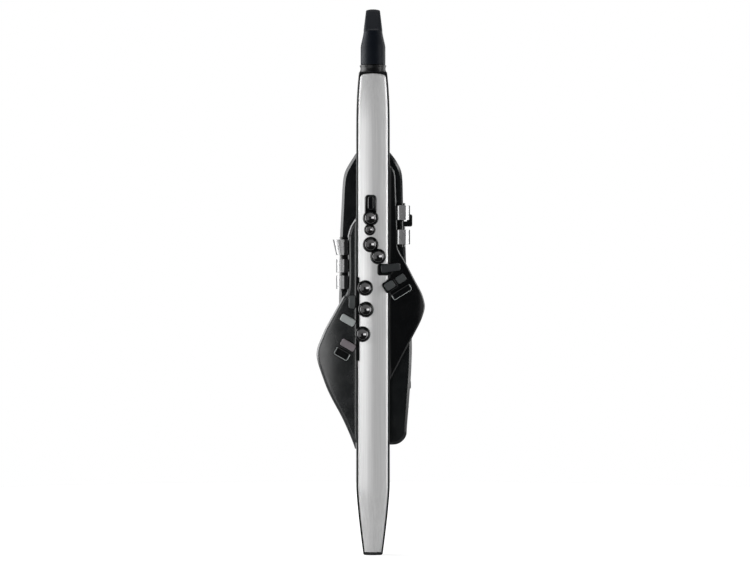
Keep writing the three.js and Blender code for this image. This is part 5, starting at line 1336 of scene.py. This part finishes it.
def divided(obj):
    """Splits a mesh evenly, so that it can follow a bend."""
    shaped(obj, lambda face: True)
    bpy.ops.mesh.subdivide(number_cuts=CUTS)
    leave()
    return obj


class MakeReed(Maker, bpy.types.Operator):
    """Adds the reed, thick at its heel and thin at its tip"""

    bl_idname = "controller.make_reed"
    bl_label = "Reed"

    def make(self):
        body, mouth = sizes("body"), sizes("mouth")
        low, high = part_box("reed")
        half = high.x
        face = mouth.reed_table + body.gap
        rings = []
        for up in spread(0, 1, REED_STEPS):
            z = low.z + (high.z - low.z) * up
            cutback = max(0, up - REED_CUT) / (1 - REED_CUT)
            thick = mouth.reed_thick - (mouth.reed_thick - mouth.reed_tip) * cutback ** REED_CURVE
            wide = half * (1 - REED_TIP_NARROW * max(0, up - REED_TIP_FROM) / (1 - REED_TIP_FROM))
            back = [(wide * math.cos(a), face + REED_FLAT * thick + (1 - REED_FLAT) * thick * math.sin(a))
                    for a in spread(0, math.pi, REED_ROUND)]
            ring = [(-wide, face), (wide, face)] + back
            rings.append([(x, y + lean(z), z) for x, y in ring])
        finished(skin(rings), "reed_blade", "reed", "rubber", 30)


class MakeWings(Maker, bpy.types.Operator):
    """Adds the two wings that carry the table keys"""

    bl_idname = "controller.make_wings"
    bl_label = "Wings"

    def make(self):
        gap = sizes("body").gap
        for name, shares, side, keys, finish in (
                ("left_hand_wing", LEFT_WING_SHARES, 1, LEFT_TABLE, "black_gloss"),
                ("right_hand_wing", RIGHT_WING_SHARES, -1, RIGHT_TABLE, "graphite")):
            wing = wing_skin(shares, *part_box(name), side)
            if side > 0:
                tabs = [soften(tab, sizes("keys").tab_edge, 3) for tab in tab_blanks(0)]
                weld(wing, *tabs)
            cut(wing, housing_skin(gap), *(table_well(key) for key in keys))
            cut(wing, *(rim_blank(group, gap) for group in RIM_GROUPS))
            finished(wing, name + "_shell", name, finish, 35)


class MakeHousing(Maker, bpy.types.Operator):
    """Adds the housing behind the body, with the openings for everything it carries"""

    bl_idname = "controller.make_housing"
    bl_label = "Rear Housing"

    def make(self):
        body, back = sizes("body"), sizes("back")
        gap, behind = body.gap, HOUSING_HIGH.y
        inside = behind - back.wall - OVERRUN
        outer = housing_skin(0)
        cutters = [housing_skin(-back.wall, HOUSING_INSIDE_SHARES),
                   standing(lambda z: solid_outline(z, gap), body_heights(0, body.top))]
        holes = {name: half_height(name) for name in BUTTONS}
        holes.update(volume_knob=back.knob_shaft, thumb_hook_screw=back.screw_shank)
        cutters += [cylinder(radius + gap, centre_of(name), Y, inside, behind + OVERRUN)
                    for name, radius in holes.items()]
        cutters += [back_slot(name, gap, back.key_round, inside) for name in OCTAVE_KEYS]
        cutters.append(back_slot("display_window", gap, back.display_round, inside))
        cutters.append(back_slot("battery_door", gap, back.door_round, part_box("battery_door")[0].y - gap))
        cutters.append(back_slot(
            "battery_door", -back.door_ledge, back.door_round - back.door_ledge, body.back))
        low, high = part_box("output_jack")
        cutters.append(cylinder(half_height("output_jack") + gap, centre_of("output_jack"), X,
                                low.x, high.x + OVERRUN))
        low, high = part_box("usb_port")
        cutters.append(block(low - Vector((0, gap, gap)), high + Vector((OVERRUN, gap, gap))))
        cut(outer, *cutters)
        finished(outer, "housing_shell", "rear_housing", "housing", 30)


def back_slot(name, grow, corner, front):
    low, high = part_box(name)
    return rounded_block((low.x - grow, front, low.z - grow),
                         (high.x + grow, HOUSING_HIGH.y + OVERRUN, high.z + grow), corner + grow)


class MakeKeyRims(Maker, bpy.types.Operator):
    """Adds the glossy rims round the finger keys"""

    bl_idname = "controller.make_key_rims"
    bl_label = "Key Rims"

    def make(self):
        for group, members in RIM_GROUPS.items():
            low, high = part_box(group)
            if group == "b_key_rim":
                members += ("front_f_key",)
            wells = [key_well(key, low.y - OVERRUN, high.y + OVERRUN) for key in members]
            rim = cut(rim_blank(group, 0), *wells)
            soften_front(rim, low.y, sizes("keys").rim_edge, 5)
            finished(rim, group + "_ring", group, "black_gloss", 40)


class MakeFingerKeys(Maker, bpy.types.Operator):
    """Adds the dished round finger keys and the long key above them"""

    bl_idname = "controller.make_finger_keys"
    bl_label = "Finger Keys"

    def make(self):
        keys = sizes("keys")
        for name in FINGER_KEYS:
            low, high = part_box(name)
            radius = (high.x - low.x) / 2
            profile = [(0, high.y), (radius, high.y)]
            profile += [(radius - keys.lip * (1 - math.sin(a)) / 2, low.y + keys.lip * (1 - math.cos(a)) / 2)
                        for a in spread(math.pi / 2, 0, ARC_STEPS)]
            hollow = radius - keys.lip
            profile += [(hollow * s, low.y + keys.dish * hollow * (1 - s * s))
                        for s in spread(1, 0, DISH_STEPS)]
            cap = turned(profile, centre_of(name), Y)
            finished(cap, name + "_touch", name, "pearl", 40)
        low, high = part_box("front_f_key")
        bar = soften(long_bar("front_f_key", 0, low.y, high.y), keys.pill_edge, 6, 50)
        finished(bar, "front_f_key_touch", "front_f_key", "black_gloss", 40)


class MakeTableKeys(Maker, bpy.types.Operator):
    """Adds the table keys for the little fingers, each with rounded edges"""

    bl_idname = "controller.make_table_keys"
    bl_label = "Table Keys"

    def make(self):
        keys = sizes("keys")
        for name, finish in TABLE_FINISHES.items():
            low, high, middle = laid_box(name, table_turn(name))
            cap = rounded_block(low, high, keys.table_round)
            shaped(cap, lambda face: face.normal.y < -FACING)
            bordered = finish == "black_gloss"
            if bordered:
                bpy.ops.mesh.inset(thickness=keys.border, depth=0)
                bpy.ops.mesh.inset(thickness=keys.border / 2, depth=-keys.border / 2)
            else:
                bpy.ops.mesh.inset(thickness=keys.table_bevel, depth=keys.table_crown)
            leave()
            soften(cap, keys.table_bevel / (3 if bordered else 1), 4, 25)
            # The black keys' border is painted pale on its left, right and lower sides as a painted
            # highlight; its top side, which faces away from the light, stays black.
            frame_step = border(keys.border)
            pale = faces_where(cap, lambda face: bordered and face.center.y < low.y + keys.border / 2
                               and outside(face.center, low + frame_step, high - frame_step))
            rotated(cap, table_turn(name), middle)
            finished(cap, name + "_touch", name, finish, 35)
            painted(cap, pale, "light_key_and_highlight")


def outside(point, low, high):
    """Whether a point of the front view lies left of, right of or below a rectangle: the sides of a black
    table key's border that get the painted highlight.
    """
    return not low.x <= point.x <= high.x or point.z < low.z


def bent_touch(inner, outer, flare, low, high, bends):
    """A sheet metal touch. The bends give its slope at shares of its width, from inner to outer edge."""
    keys = sizes("keys")
    line, down = [(0, 0)], 0
    for (start, slope), (end, next_slope) in zip(bends, bends[1:]):
        steps = max(1, round((end - start) * TOUCH_STEPS))
        for part in spread(0, 1, steps)[1:]:
            angle = slope + (next_slope - slope) * (part - 0.5 / steps)
            down += math.tan(angle) * (end - start) / steps * abs(outer - inner)
            line.append((start + (end - start) * part, down))
    rings = []
    for up in [0, *spread(TOUCH_END, 1 - TOUCH_END, TOUCH_LEVELS), 1]:
        z = low.z + (high.z - low.z) * up
        width = outer + flare * up - inner
        front = [(inner + width * x, low.y + down * width / (outer - inner)) for x, down in line]
        rear = [(x - TOUCH_TAPER * (x - inner), y + keys.touch_sheet) for x, y in front]
        rings.append([(x, y, z) for x, y in front + rear[::-1]])
    return skin(rings)


class MakeRockingKeys(Maker, bpy.types.Operator):
    """Adds the side and palm keys, each a curved touch on a barrel that rocks on its rod"""

    bl_idname = "controller.make_rocking_keys"
    bl_label = "Side and Palm Keys"

    def make(self):
        keys = sizes("keys")
        for name in SIDE_KEYS + PALM_KEYS:
            low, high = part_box(name)
            at_side = name in SIDE_KEYS
            rod_x = keys.side_rod if at_side else keys.palm_rod
            inner, outer = (high.x, low.x) if at_side else (low.x, high.x)
            flare = 0
            if name == "side_e_key":
                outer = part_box("side_c_key")[0].x
                flare = low.x - outer
            touch = bent_touch(inner, outer, flare, low, high, SIDE_BENDS if at_side else PALM_BENDS)
            soften(touch, keys.touch_edge / 3, 3, 50)
            rod_y = high.y - keys.barrel
            axle = (rod_x, rod_y, 0)
            barrel = cylinder(keys.barrel, axle, Z, low.z, high.z, SMALL_ROUND)
            soften(barrel, keys.touch_edge / 2, 2, 40)
            web = block((rod_x - keys.web / 2, low.y + keys.touch_thick / 2, low.z + keys.touch_edge),
                        (rod_x + keys.web / 2, rod_y, high.z - keys.touch_edge))
            weld(touch, barrel, web)
            cut(touch, cylinder(keys.rod_bore, axle, Z, low.z - OVERRUN, high.z + OVERRUN, SMALL_ROUND))
            finished(touch, name + "_touch", name, "key_silver", 24)
            # The outer edge of each touch is painted darker as painted shade: dark grey on the side keys,
            # grey on the palm keys.
            slant = flare / (high.z - low.z)
            rim = faces_where(touch, lambda face: keys.shaded_edge_width > abs(
                face.center.x - outer - slant * (face.center.z - low.z)))
            painted(touch, rim, "dark_key" if at_side else "grey_key")
            # The inner part of each side key, beside the body, is painted black as painted shade.
            if at_side:
                painted(touch, faces_where(touch, lambda face: face.center.x > inner - keys.painted_shade_width),
                        "black_satin_and_shade")


class MakePalmEFlat(Maker, bpy.types.Operator):
    """Adds the black palm key that stands outside the other two"""

    bl_idname = "controller.make_palm_e_flat"
    bl_label = "Palm E Flat Key"

    def make(self):
        keys = sizes("keys")
        low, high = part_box("palm_e_flat_key")
        front, back = low.y, low.y + keys.touch_thick
        arm = low.z + keys.palm_arm
        rod_x = keys.palm_rod
        touch = rounded_block((rod_x + keys.palm_near, front, low.z), (high.x, back, high.z),
                              keys.table_round)
        reach = rounded_block((rod_x, front, low.z), (high.x, back, arm), keys.table_round)
        axle = (rod_x, high.y - keys.barrel, 0)
        barrel = cylinder(keys.barrel, axle, Z, low.z, arm, SMALL_ROUND)
        weld(touch, reach)
        soften(touch, keys.touch_edge, 3, 40)
        weld(touch, barrel)
        cut(touch, cylinder(keys.rod_bore, axle, Z, low.z - OVERRUN, arm + OVERRUN, SMALL_ROUND))
        finished(touch, "palm_e_flat_key_touch", "palm_e_flat_key", "black_gloss", 35)


def grooves(name, across, count, back):
    """Cutters for grip grooves that run across a piece on the back."""
    radius, step = sizes("back").groove, sizes("back").groove_step
    middle = centre_of(name)
    heights = [middle.z + step * (i - (count - 1) / 2) for i in range(count)]
    return [cylinder(radius, (0, back, z), X, middle.x - across, middle.x + across, SMALL_ROUND)
            for z in heights]


class MakeKeyRods(Maker, bpy.types.Operator):
    """Adds the two rods that the side and palm keys rock on, with their posts"""

    bl_idname = "controller.make_key_rods"
    bl_label = "Key Rods"

    def make(self):
        gap, keys, back = sizes("body").gap, sizes("keys"), sizes("back")
        for name, members, rod_x, side in (("side_key_rod", SIDE_KEYS, keys.side_rod, -1),
                                           ("palm_key_rod", PALM_ROD_KEYS, keys.palm_rod, 1)):
            low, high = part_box(name)
            rod_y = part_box(members[0])[1].y - keys.barrel
            spans = sorted([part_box(key)[0].z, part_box(key)[1].z] for key in members)
            if side > 0:
                spans[1][1] = spans[2][0]
            bottoms = [low.z] + [top + gap for _, top in spans]
            tops = [bottom - gap for bottom, _ in spans] + [high.z]
            axle = (rod_x, rod_y, 0)
            rod = cylinder(keys.rod_bore - gap, axle, Z, low.z, high.z, SMALL_ROUND)
            posts = []
            for bottom, top in zip(bottoms, tops):
                if top - bottom < 2 * gap:
                    continue
                knuckle = cylinder(keys.barrel - gap, axle, Z, bottom, top, SMALL_ROUND)
                ends = sorted((rod_x - side * back.post, rod_x + side * (keys.barrel - gap)))
                foot = block((ends[0], rod_y, bottom), (ends[1], high.y, top))
                posts.append(soften(weld(knuckle, foot), back.post_edge, 2, 40))
            finished(split_faces(weld(rod, *posts)), name + "_posts", name, "black_gloss", 35)


class MakeOctaveKeys(Maker, bpy.types.Operator):
    """Adds the two octave keys for the left thumb, hollowed and grooved"""

    bl_idname = "controller.make_octave_keys"
    bl_label = "Octave Keys"

    def make(self):
        back = sizes("back")
        for name in OCTAVE_KEYS:
            low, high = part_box(name)
            cap = soften(rounded_block(low, high, back.key_round), back.key_edge, 4, 40)
            step = border(back.key_inset)
            floor = Vector((low.x, high.y - back.key_hollow, low.z))
            cut(cap, rounded_block(floor + step, high - step + Vector((0, OVERRUN, 0)), back.key_round))
            cut(cap, *grooves(name, high.x - 3 * back.key_inset, KEY_GROOVES, high.y - back.key_hollow))
            finished(cap, name + "_touch", name, "grey_key", 30)


class MakeThumbRest(Maker, bpy.types.Operator):
    """Adds the rubber rest for the left thumb, hollow across and falling away at its ends"""

    bl_idname = "controller.make_thumb_rest"
    bl_label = "Thumb Rest"

    def make(self):
        back = sizes("back")
        low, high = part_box("thumb_rest")
        middle = (low.z + high.z) / 2
        rings = []
        for up in spread(-1, 1, REST_STEPS):
            fall = abs(up) ** REST_FALL_POWER
            half = high.x * (1 - REST_NARROW * abs(up) ** REST_NARROW_POWER)
            thick = (high.y - low.y) * (1 - REST_THIN * fall)
            hollow = back.rest_dish * (1 - REST_SHALLOW * fall)
            surface = [(half * x, low.y + thick - hollow * (1 - x * x))
                       for x in spread(1, -1, REST_ROUND)]
            z = middle + up * (high.z - low.z) / 2
            rings.append([(x, y, z) for x, y in [(-half, low.y), (half, low.y)] + surface])
        rest = soften(skin(rings), back.rest_edge, 3, 40)
        cut(rest, *grooves("thumb_rest", high.x / 2, REST_GROOVES, high.y - back.rest_dish))
        finished(rest, "thumb_rest_pad", "thumb_rest", "rubber", 30)


class MakePitchLever(Maker, bpy.types.Operator):
    """Adds the pitch lever, a rocking touch on a barrel beside the thumb rest"""

    bl_idname = "controller.make_pitch_lever"
    bl_label = "Pitch Lever"

    def make(self):
        back = sizes("back")
        low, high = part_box("pitch_lever")
        middle = (low.z + high.z) / 2
        y = low.y + back.lever_barrel
        plate = rounded_block((low.x, high.y - back.lever_thick, low.z), high, back.key_round)
        soften(plate, back.key_edge, 4, 40)
        reach = (high.z - low.z) / 4
        axis_y = high.y + 4 * reach - back.key_hollow
        cut(plate, *(cylinder(4 * reach, (0, axis_y, middle + end * reach), X,
                              low.x - OVERRUN, high.x + OVERRUN, 2 * ROUND) for end in (-1, 1)))
        barrel = cylinder(back.lever_barrel, (0, y, middle), X, low.x, high.x, SMALL_ROUND)
        neck = block((low.x + back.key_edge, y, middle - back.lever_barrel / 2),
                     (high.x - back.key_edge, high.y - back.lever_thick / 2, middle + back.lever_barrel / 2))
        weld(plate, soften(barrel, back.key_edge / 2, 2, 40), neck)
        finished(plate, "pitch_lever_touch", "pitch_lever", "dark_key", 30)


class MakeButtons(Maker, bpy.types.Operator):
    """Adds the round menu buttons and the power button, each with a shallow hollow"""

    bl_idname = "controller.make_buttons"
    bl_label = "Buttons"

    def make(self):
        back = sizes("back")
        for name in BUTTONS:
            low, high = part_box(name)
            radius, edge = half_height(name), back.button_edge
            profile = [(0, low.y), (radius, low.y)] + rounded_rim(radius, high.y, edge)
            profile += [((radius - edge) * x, high.y - back.button_dish * (1 - x * x))
                        for x in spread(HOLLOW_FROM, 0, HOLLOW_STEPS)]
            cap = turned(profile, centre_of(name), Y, SMALL_ROUND)
            finished(cap, name + "_cap", name, "grey_key", 30)


class MakeVolumeKnob(Maker, bpy.types.Operator):
    """Adds the volume knob, with grooves round its grip"""

    bl_idname = "controller.make_volume_knob"
    bl_label = "Volume Knob"

    def make(self):
        back = sizes("back")
        low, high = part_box("volume_knob")
        middle = centre_of("volume_knob")
        radius, edge = half_height("volume_knob"), back.button_edge
        base = HOUSING_HIGH.y + sizes("body").gap
        profile = [(0, low.y), (back.knob_shaft, low.y), (back.knob_shaft, base), (radius, base)]
        profile += rounded_rim(radius, high.y, edge)
        profile += [(radius / 2, high.y), (radius / 2 - edge / 2, high.y - edge / 2), (0, high.y - edge / 2)]
        knob = turned(profile, middle, Y)
        for angle in spread(0, 2 * math.pi, KNOB_GROOVES)[:-1]:
            place = (middle.x + radius * math.cos(angle), 0, middle.z + radius * math.sin(angle))
            cut(knob, cylinder(back.knob_groove, place, Y, base + edge, high.y + OVERRUN, TINY_ROUND))
        finished(knob, "volume_knob_grip", "volume_knob", "dark_key", 30)


class MakeDisplay(Maker, bpy.types.Operator):
    """Adds the display window with the paler screen inside its border"""

    bl_idname = "controller.make_display"
    bl_label = "Display Window"

    def make(self):
        back = sizes("back")
        low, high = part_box("display_window")
        glass = soften(rounded_block(low, high, back.display_round), back.door_edge, 2, 40)
        step = border(back.display_border)
        depth = Vector((0, high.y - low.y - back.door_edge / 2, 0))
        cut(glass, block(low + step + depth, high - step + Vector((0, OVERRUN, 0))))
        finished(glass, "display_window_glass", "display_window", "glass", 30)
        inside = faces_where(glass, lambda face: face.normal.y > FACING
                             and face.center.y < high.y - back.door_edge / 4)
        painted(glass, inside, "screen")


class MakeBatteryDoor(Maker, bpy.types.Operator):
    """Adds the battery door, with a scoop and grooves for the finger that opens it"""

    bl_idname = "controller.make_battery_door"
    bl_label = "Battery Door"

    def make(self):
        back = sizes("back")
        low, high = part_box("battery_door")
        door = soften(rounded_block(low, high, back.door_round), back.door_edge, 3, 40)
        half, z = back.scoop, high.z - back.scoop_drop
        cut(door, cylinder(back.scoop, (0, high.y + back.scoop - back.scoop_depth, z), X, -half, half))
        for i in range(1, DOOR_GROOVES + 1):
            place = (0, high.y, z - back.scoop / 2 - back.groove_step * i)
            cut(door, cylinder(back.groove, place, X, -half, half, SMALL_ROUND))
        finished(door, "battery_door_cover", "battery_door", "housing", 30)


class MakeSockets(Maker, bpy.types.Operator):
    """Adds the output jack and the USB port in the housing's right flank"""

    bl_idname = "controller.make_sockets"
    bl_label = "Sockets"

    def make(self):
        back, gap = sizes("back"), sizes("body").gap
        low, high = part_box("output_jack")
        radius, bore, edge = half_height("output_jack"), back.jack_bore, back.jack_edge
        floor = low.x + back.jack_floor
        profile = [(0, low.x), (radius, low.x), (radius, high.x - edge), (radius - edge, high.x),
                   (bore + edge, high.x), (bore, high.x - edge), (bore, floor), (0, floor)]
        jack = turned(profile, centre_of("output_jack"), X)
        finished(jack, "output_jack_sleeve", "output_jack", "black_satin_and_shade", 30)
        low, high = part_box("usb_port")
        wall = Vector((0, back.port_wall, back.port_wall))
        middle = centre_of("usb_port")
        shell = rounded_block(low, high, back.port_round, X)
        cut(shell, rounded_block(low + wall + Vector((back.port_wall, 0, 0)),
                                 high - wall + Vector((OVERRUN, 0, 0)), back.port_round / 2, X))
        tongue = Vector((0, back.port_tongue, (high.z - low.z) / 2 - 2 * back.port_wall))
        inner = Vector((low.x + back.port_wall / 2, middle.y, middle.z))
        outer = Vector((high.x - back.port_wall, middle.y, middle.z))
        weld(shell, block(inner - tongue, outer + tongue))
        soften(shell, gap / 2, 2, 40)
        finished(shell, "usb_port_shell", "usb_port", "chrome", 30)


class MakeStrapFittings(Maker, bpy.types.Operator):
    """Adds the strap bracket with its pin, and the ring that swings on it"""

    bl_idname = "controller.make_strap_fittings"
    bl_label = "Strap Fittings"

    def make(self):
        back, gap = sizes("back"), sizes("body").gap
        low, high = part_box("strap_bracket")
        middle = (low.z + high.z) / 2
        pivot = high.y - back.ear
        axle = (0, pivot, middle)
        base = rounded_block(low, (high.x, low.y + back.bracket_base, high.z), back.key_round)
        soften(base, back.key_edge / 2, 3, 40)
        ears = []
        for side in (-1, 1):
            ends = sorted((side * back.ear_inner, side * high.x))
            eye = cylinder(back.ear, axle, X, *ends, SMALL_ROUND)
            foot = block((ends[0], low.y, middle - back.ear), (ends[1], pivot, middle + back.ear))
            ears.append(soften(weld(eye, foot), back.post_edge, 2, 40))
        reach = high.x - gap
        pin = cylinder(back.ring_wire, axle, X, -reach, reach, SMALL_ROUND)
        weld(base, *ears, pin)
        finished(base, "strap_bracket_ears", "strap_bracket", "chrome", 30)
        eye_radius = 2 * back.ring_wire + gap
        half = back.ear_inner - gap
        deselect()
        bpy.ops.mesh.primitive_torus_add(
            major_radius=back.ring_radius, minor_radius=back.ring_wire, major_segments=ROUND,
            minor_segments=WIRE_ROUND, location=(0, pivot, middle - back.ring_radius - eye_radius),
            rotation=(math.pi / 2, 0, 0))
        loop = settle(bpy.context.object)
        eye = cylinder(eye_radius, axle, X, -half, half, SMALL_ROUND)
        weld(loop, soften(eye, back.post_edge, 2, 40))
        bore = half + OVERRUN
        cut(loop, cylinder(back.ring_wire + gap, axle, X, -bore, bore, SMALL_ROUND))
        finished(loop, "strap_ring_loop", "strap_ring", "chrome", 35)


class MakeThumbHook(Maker, bpy.types.Operator):
    """Adds the thumb hook, a plate with a curled arm, and the screw that holds it"""

    bl_idname = "controller.make_thumb_hook"
    bl_label = "Thumb Hook"

    def make(self):
        back, gap = sizes("back"), sizes("body").gap
        low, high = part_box("thumb_hook")
        thick = back.hook_thick
        top = high.z - back.hook_step - thick / 2
        bend = high.y - back.hook_drop
        middle_radius = back.hook_drop - thick / 2
        path = [(y, top, 0) for y in spread(low.y + thick / 2, bend, HOOK_STEPS)[:-1]]
        path += [(bend + middle_radius * math.sin(a), top - middle_radius * (1 - math.cos(a)), a)
                 for a in spread(0, math.pi / 2, HOOK_BEND_STEPS)]
        rings = []
        for i, (y, z, turn) in enumerate(path):
            half = high.x - back.hook_narrow * (i / (len(path) - 1)) ** 3
            ring = []
            for angle in spread(0, 2 * math.pi, HOOK_ROUND)[:-1]:
                c, t = math.cos(angle), math.sin(angle)
                x = half * signed_power(c, HOOK_ACROSS)
                out = thick / 2 * signed_power(t, HOOK_THROUGH)
                ring.append((x, y + out * math.sin(turn), z + out * math.cos(turn)))
            rings.append(ring)
        arm = skin(rings)
        plate = rounded_block(low, (high.x, low.y + thick, high.z), back.door_round)
        soften(plate, back.hook_edge, 3, 40)
        soften(arm, back.hook_edge / 2, 2, 50)
        screw_low, screw_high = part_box("thumb_hook_screw")
        z = (screw_low.z + screw_high.z) / 2
        weld(plate, arm)
        cut(plate, cylinder(back.screw_shank + gap, (0, 0, z), Y, low.y - OVERRUN,
                            low.y + thick + OVERRUN / 2, SMALL_ROUND))
        finished(plate, "thumb_hook_arm", "thumb_hook", "black_satin_and_shade", 35)
        radius, face, shank = screw_high.x, screw_high.y - back.screw_head, back.screw_shank
        profile = [(0, screw_low.y), (shank, screw_low.y), (shank, face), (radius, face)]
        profile += [*rounded_rim(radius, screw_high.y, back.post_edge), (0, screw_high.y)]
        screw = turned(profile, (0, 0, z), Y, SMALL_ROUND)
        half = back.screw_slot / 2
        cut(screw, block((-radius - gap, screw_high.y - back.screw_slot, z - half),
                         (radius + gap, screw_high.y + gap, z + half)))
        finished(screw, "thumb_hook_screw_head", "thumb_hook_screw", "chrome", 30)


class FinishInnerParts(Maker, bpy.types.Operator):
    """Gives the framed pieces that keep their own shape their finish"""

    bl_idname = "controller.finish_inner_parts"
    bl_label = "Inner Parts"

    def make(self):
        for name, finish in KEPT_FINISHES.items():
            data = frame["nodes"][name].data
            data.materials.clear()
            data.materials.append(MATERIALS[finish])


class MakeStudio(Maker, bpy.types.Operator):
    """Adds the floor, the soft lights, the pale room and the camera"""

    bl_idname = "controller.make_studio"
    bl_label = "Studio"

    def make(self):
        studio = sizes("studio")
        self.floor(studio)
        self.room(studio)
        for name in ("left", "left_rim", "right", "right_rim", "back", "top"):
            lamp = bpy.data.lights.new(name + "_light", "AREA")
            lamp.shape = "RECTANGLE"
            lamp.size, lamp.size_y = getattr(studio, name + "_size")
            lamp.energy = getattr(studio, name + "_power")
            obj = linked(name + "_light", lamp)
            obj.location = getattr(studio, name + "_place")
            aim = Vector((0, 0, studio.middle)) - obj.location
            obj.rotation_euler = aim.to_track_quat("-Z", "Y").to_euler()
        self.camera(studio)
        bpy.context.scene.view_settings.view_transform = "Standard"

    def floor(self, studio):
        deselect()
        bpy.ops.mesh.primitive_circle_add(vertices=ROUND, radius=studio.floor_radius, fill_type="NGON")
        floor = bpy.context.object
        floor.name = "studio_floor"
        material, tree, _ = new_material("Studio Floor")
        tree.nodes.remove(tree.nodes["Principled BSDF"])
        matt = node(tree, "BsdfDiffuse", Color=[studio.floor_tone] * 3 + [1])
        away = node(tree, "VectorMath", node(tree, "TexCoord").outputs["Object"], operation="LENGTH")
        fade = soft_step(tree, away.outputs["Value"], 0.0, studio.floor_radius * FLOOR_FADE,
                         studio.floor_glow, 1.0)
        path = node(tree, "LightPath").outputs
        seen = worked(tree, "MAXIMUM", path["Is Camera Ray"], path["Is Transmission Ray"])
        glow = node(tree, "Emission", Color=(1, 1, 1, 1))
        wire(tree, worked(tree, "MULTIPLY", seen, fade), glow.inputs["Strength"])
        both = node(tree, "AddShader", matt.outputs[0], glow.outputs[0])
        wire(tree, both.outputs[0], tree.nodes["Material Output"].inputs["Surface"])
        floor.data.materials.append(material)

    def room(self, studio):
        """White where it is seen directly or behind the object, dim in front of it."""
        world = bpy.data.worlds.new("Studio Room")
        bpy.context.scene.world = world
        world.use_nodes = True
        tree = world.node_tree
        path = node(tree, "LightPath").outputs
        direction = node(tree, "SeparateXYZ", node(tree, "TexCoord").outputs["Generated"]).outputs
        left = worked(tree, "MULTIPLY", direction["X"], -studio.white_lean)
        depth = worked(tree, "ADD", direction["Y"], left)
        white = soft_step(tree, depth, studio.white_from, studio.white_from + WHITE_FADE,
                          studio.world_level, 1.0)
        dimmed = soft_step(tree, direction["Y"], *DIM_SPAN, 1.0, studio.behind_level)
        mirrored = worked(tree, "MAXIMUM", path["Is Glossy Ray"], path["Is Transmission Ray"])
        room = node(tree, "Mix", mirrored, data_type="FLOAT")
        wire(tree, studio.world_level, room.inputs[2])
        wire(tree, worked(tree, "MULTIPLY", white, dimmed), room.inputs[3])
        strength = worked(tree, "MAXIMUM", path["Is Camera Ray"], room.outputs[0])
        wire(tree, strength, tree.nodes["Background"].inputs["Strength"])
        tree.nodes["Background"].inputs["Color"].default_value = (1, 1, 1, 1)

    def camera(self, studio):
        data = bpy.data.cameras.new("Studio Camera")
        data.lens = studio.lens
        data.sensor_width = studio.sensor
        camera = linked("Studio Camera", data)
        width = PHOTO_WIDTH * METRES_PER_PIXEL
        camera.location = (studio.aim_x, -width * studio.lens / studio.sensor, studio.aim_z)
        camera.rotation_euler = (math.pi / 2, 0, 0)
        bpy.context.scene.camera = camera


PROPERTY_GROUPS = {
    "body": BodySizes, "wing": WingSizes, "keys": KeySizes, "mouth": MouthSizes, "back": BackSizes,
    "colours": FinishColours, "studio": StudioSettings,
}
PIECE_OPERATORS = (
    MakeFrontPanel, MakeBodyChannel, MakeEndCap, MakeNeckCollar, MakeMouthpiece, MakeReed, MakeWings,
    MakeHousing, MakeKeyRims, MakeFingerKeys, MakeTableKeys, MakeRockingKeys, MakePalmEFlat, MakeKeyRods,
    MakeOctaveKeys, MakeThumbRest, MakePitchLever, MakeButtons, MakeVolumeKnob, MakeDisplay,
    MakeBatteryDoor, MakeSockets, MakeStrapFittings, MakeThumbHook, FinishInnerParts, MakeStudio,
)


class ControllerPanel(bpy.types.Panel):
    """Lists the operators and the sizes that they use"""

    bl_idname = "CONTROLLER_PT_pieces"
    bl_label = "Wind Controller"
    bl_space_type = "VIEW_3D"
    bl_region_type = "UI"
    bl_category = "Wind Controller"

    def draw(self, context):
        for piece in PIECE_OPERATORS:
            self.layout.operator(piece.bl_idname)
        for kind, group in PROPERTY_GROUPS.items():
            box = self.layout.box()
            box.label(text=kind.title())
            for name in group.__annotations__:
                box.prop(sizes(kind), name)


def register():
    for kind, group in PROPERTY_GROUPS.items():
        bpy.utils.register_class(group)
        setattr(bpy.types.Scene, "controller_" + kind, bpy.props.PointerProperty(type=group))
    for piece in PIECE_OPERATORS:
        bpy.utils.register_class(piece)
    bpy.utils.register_class(ControllerPanel)


def unregister():
    bpy.utils.unregister_class(ControllerPanel)
    for piece in reversed(PIECE_OPERATORS):
        bpy.utils.unregister_class(piece)
    for kind, group in reversed(PROPERTY_GROUPS.items()):
        delattr(bpy.types.Scene, "controller_" + kind)
        bpy.utils.unregister_class(group)


def main():
    register()
    make_materials()
    for piece in PIECE_OPERATORS:
        category, action = piece.bl_idname.split(".")
        getattr(getattr(bpy.ops, category), action)()


if __name__ == "__main__":
    main()
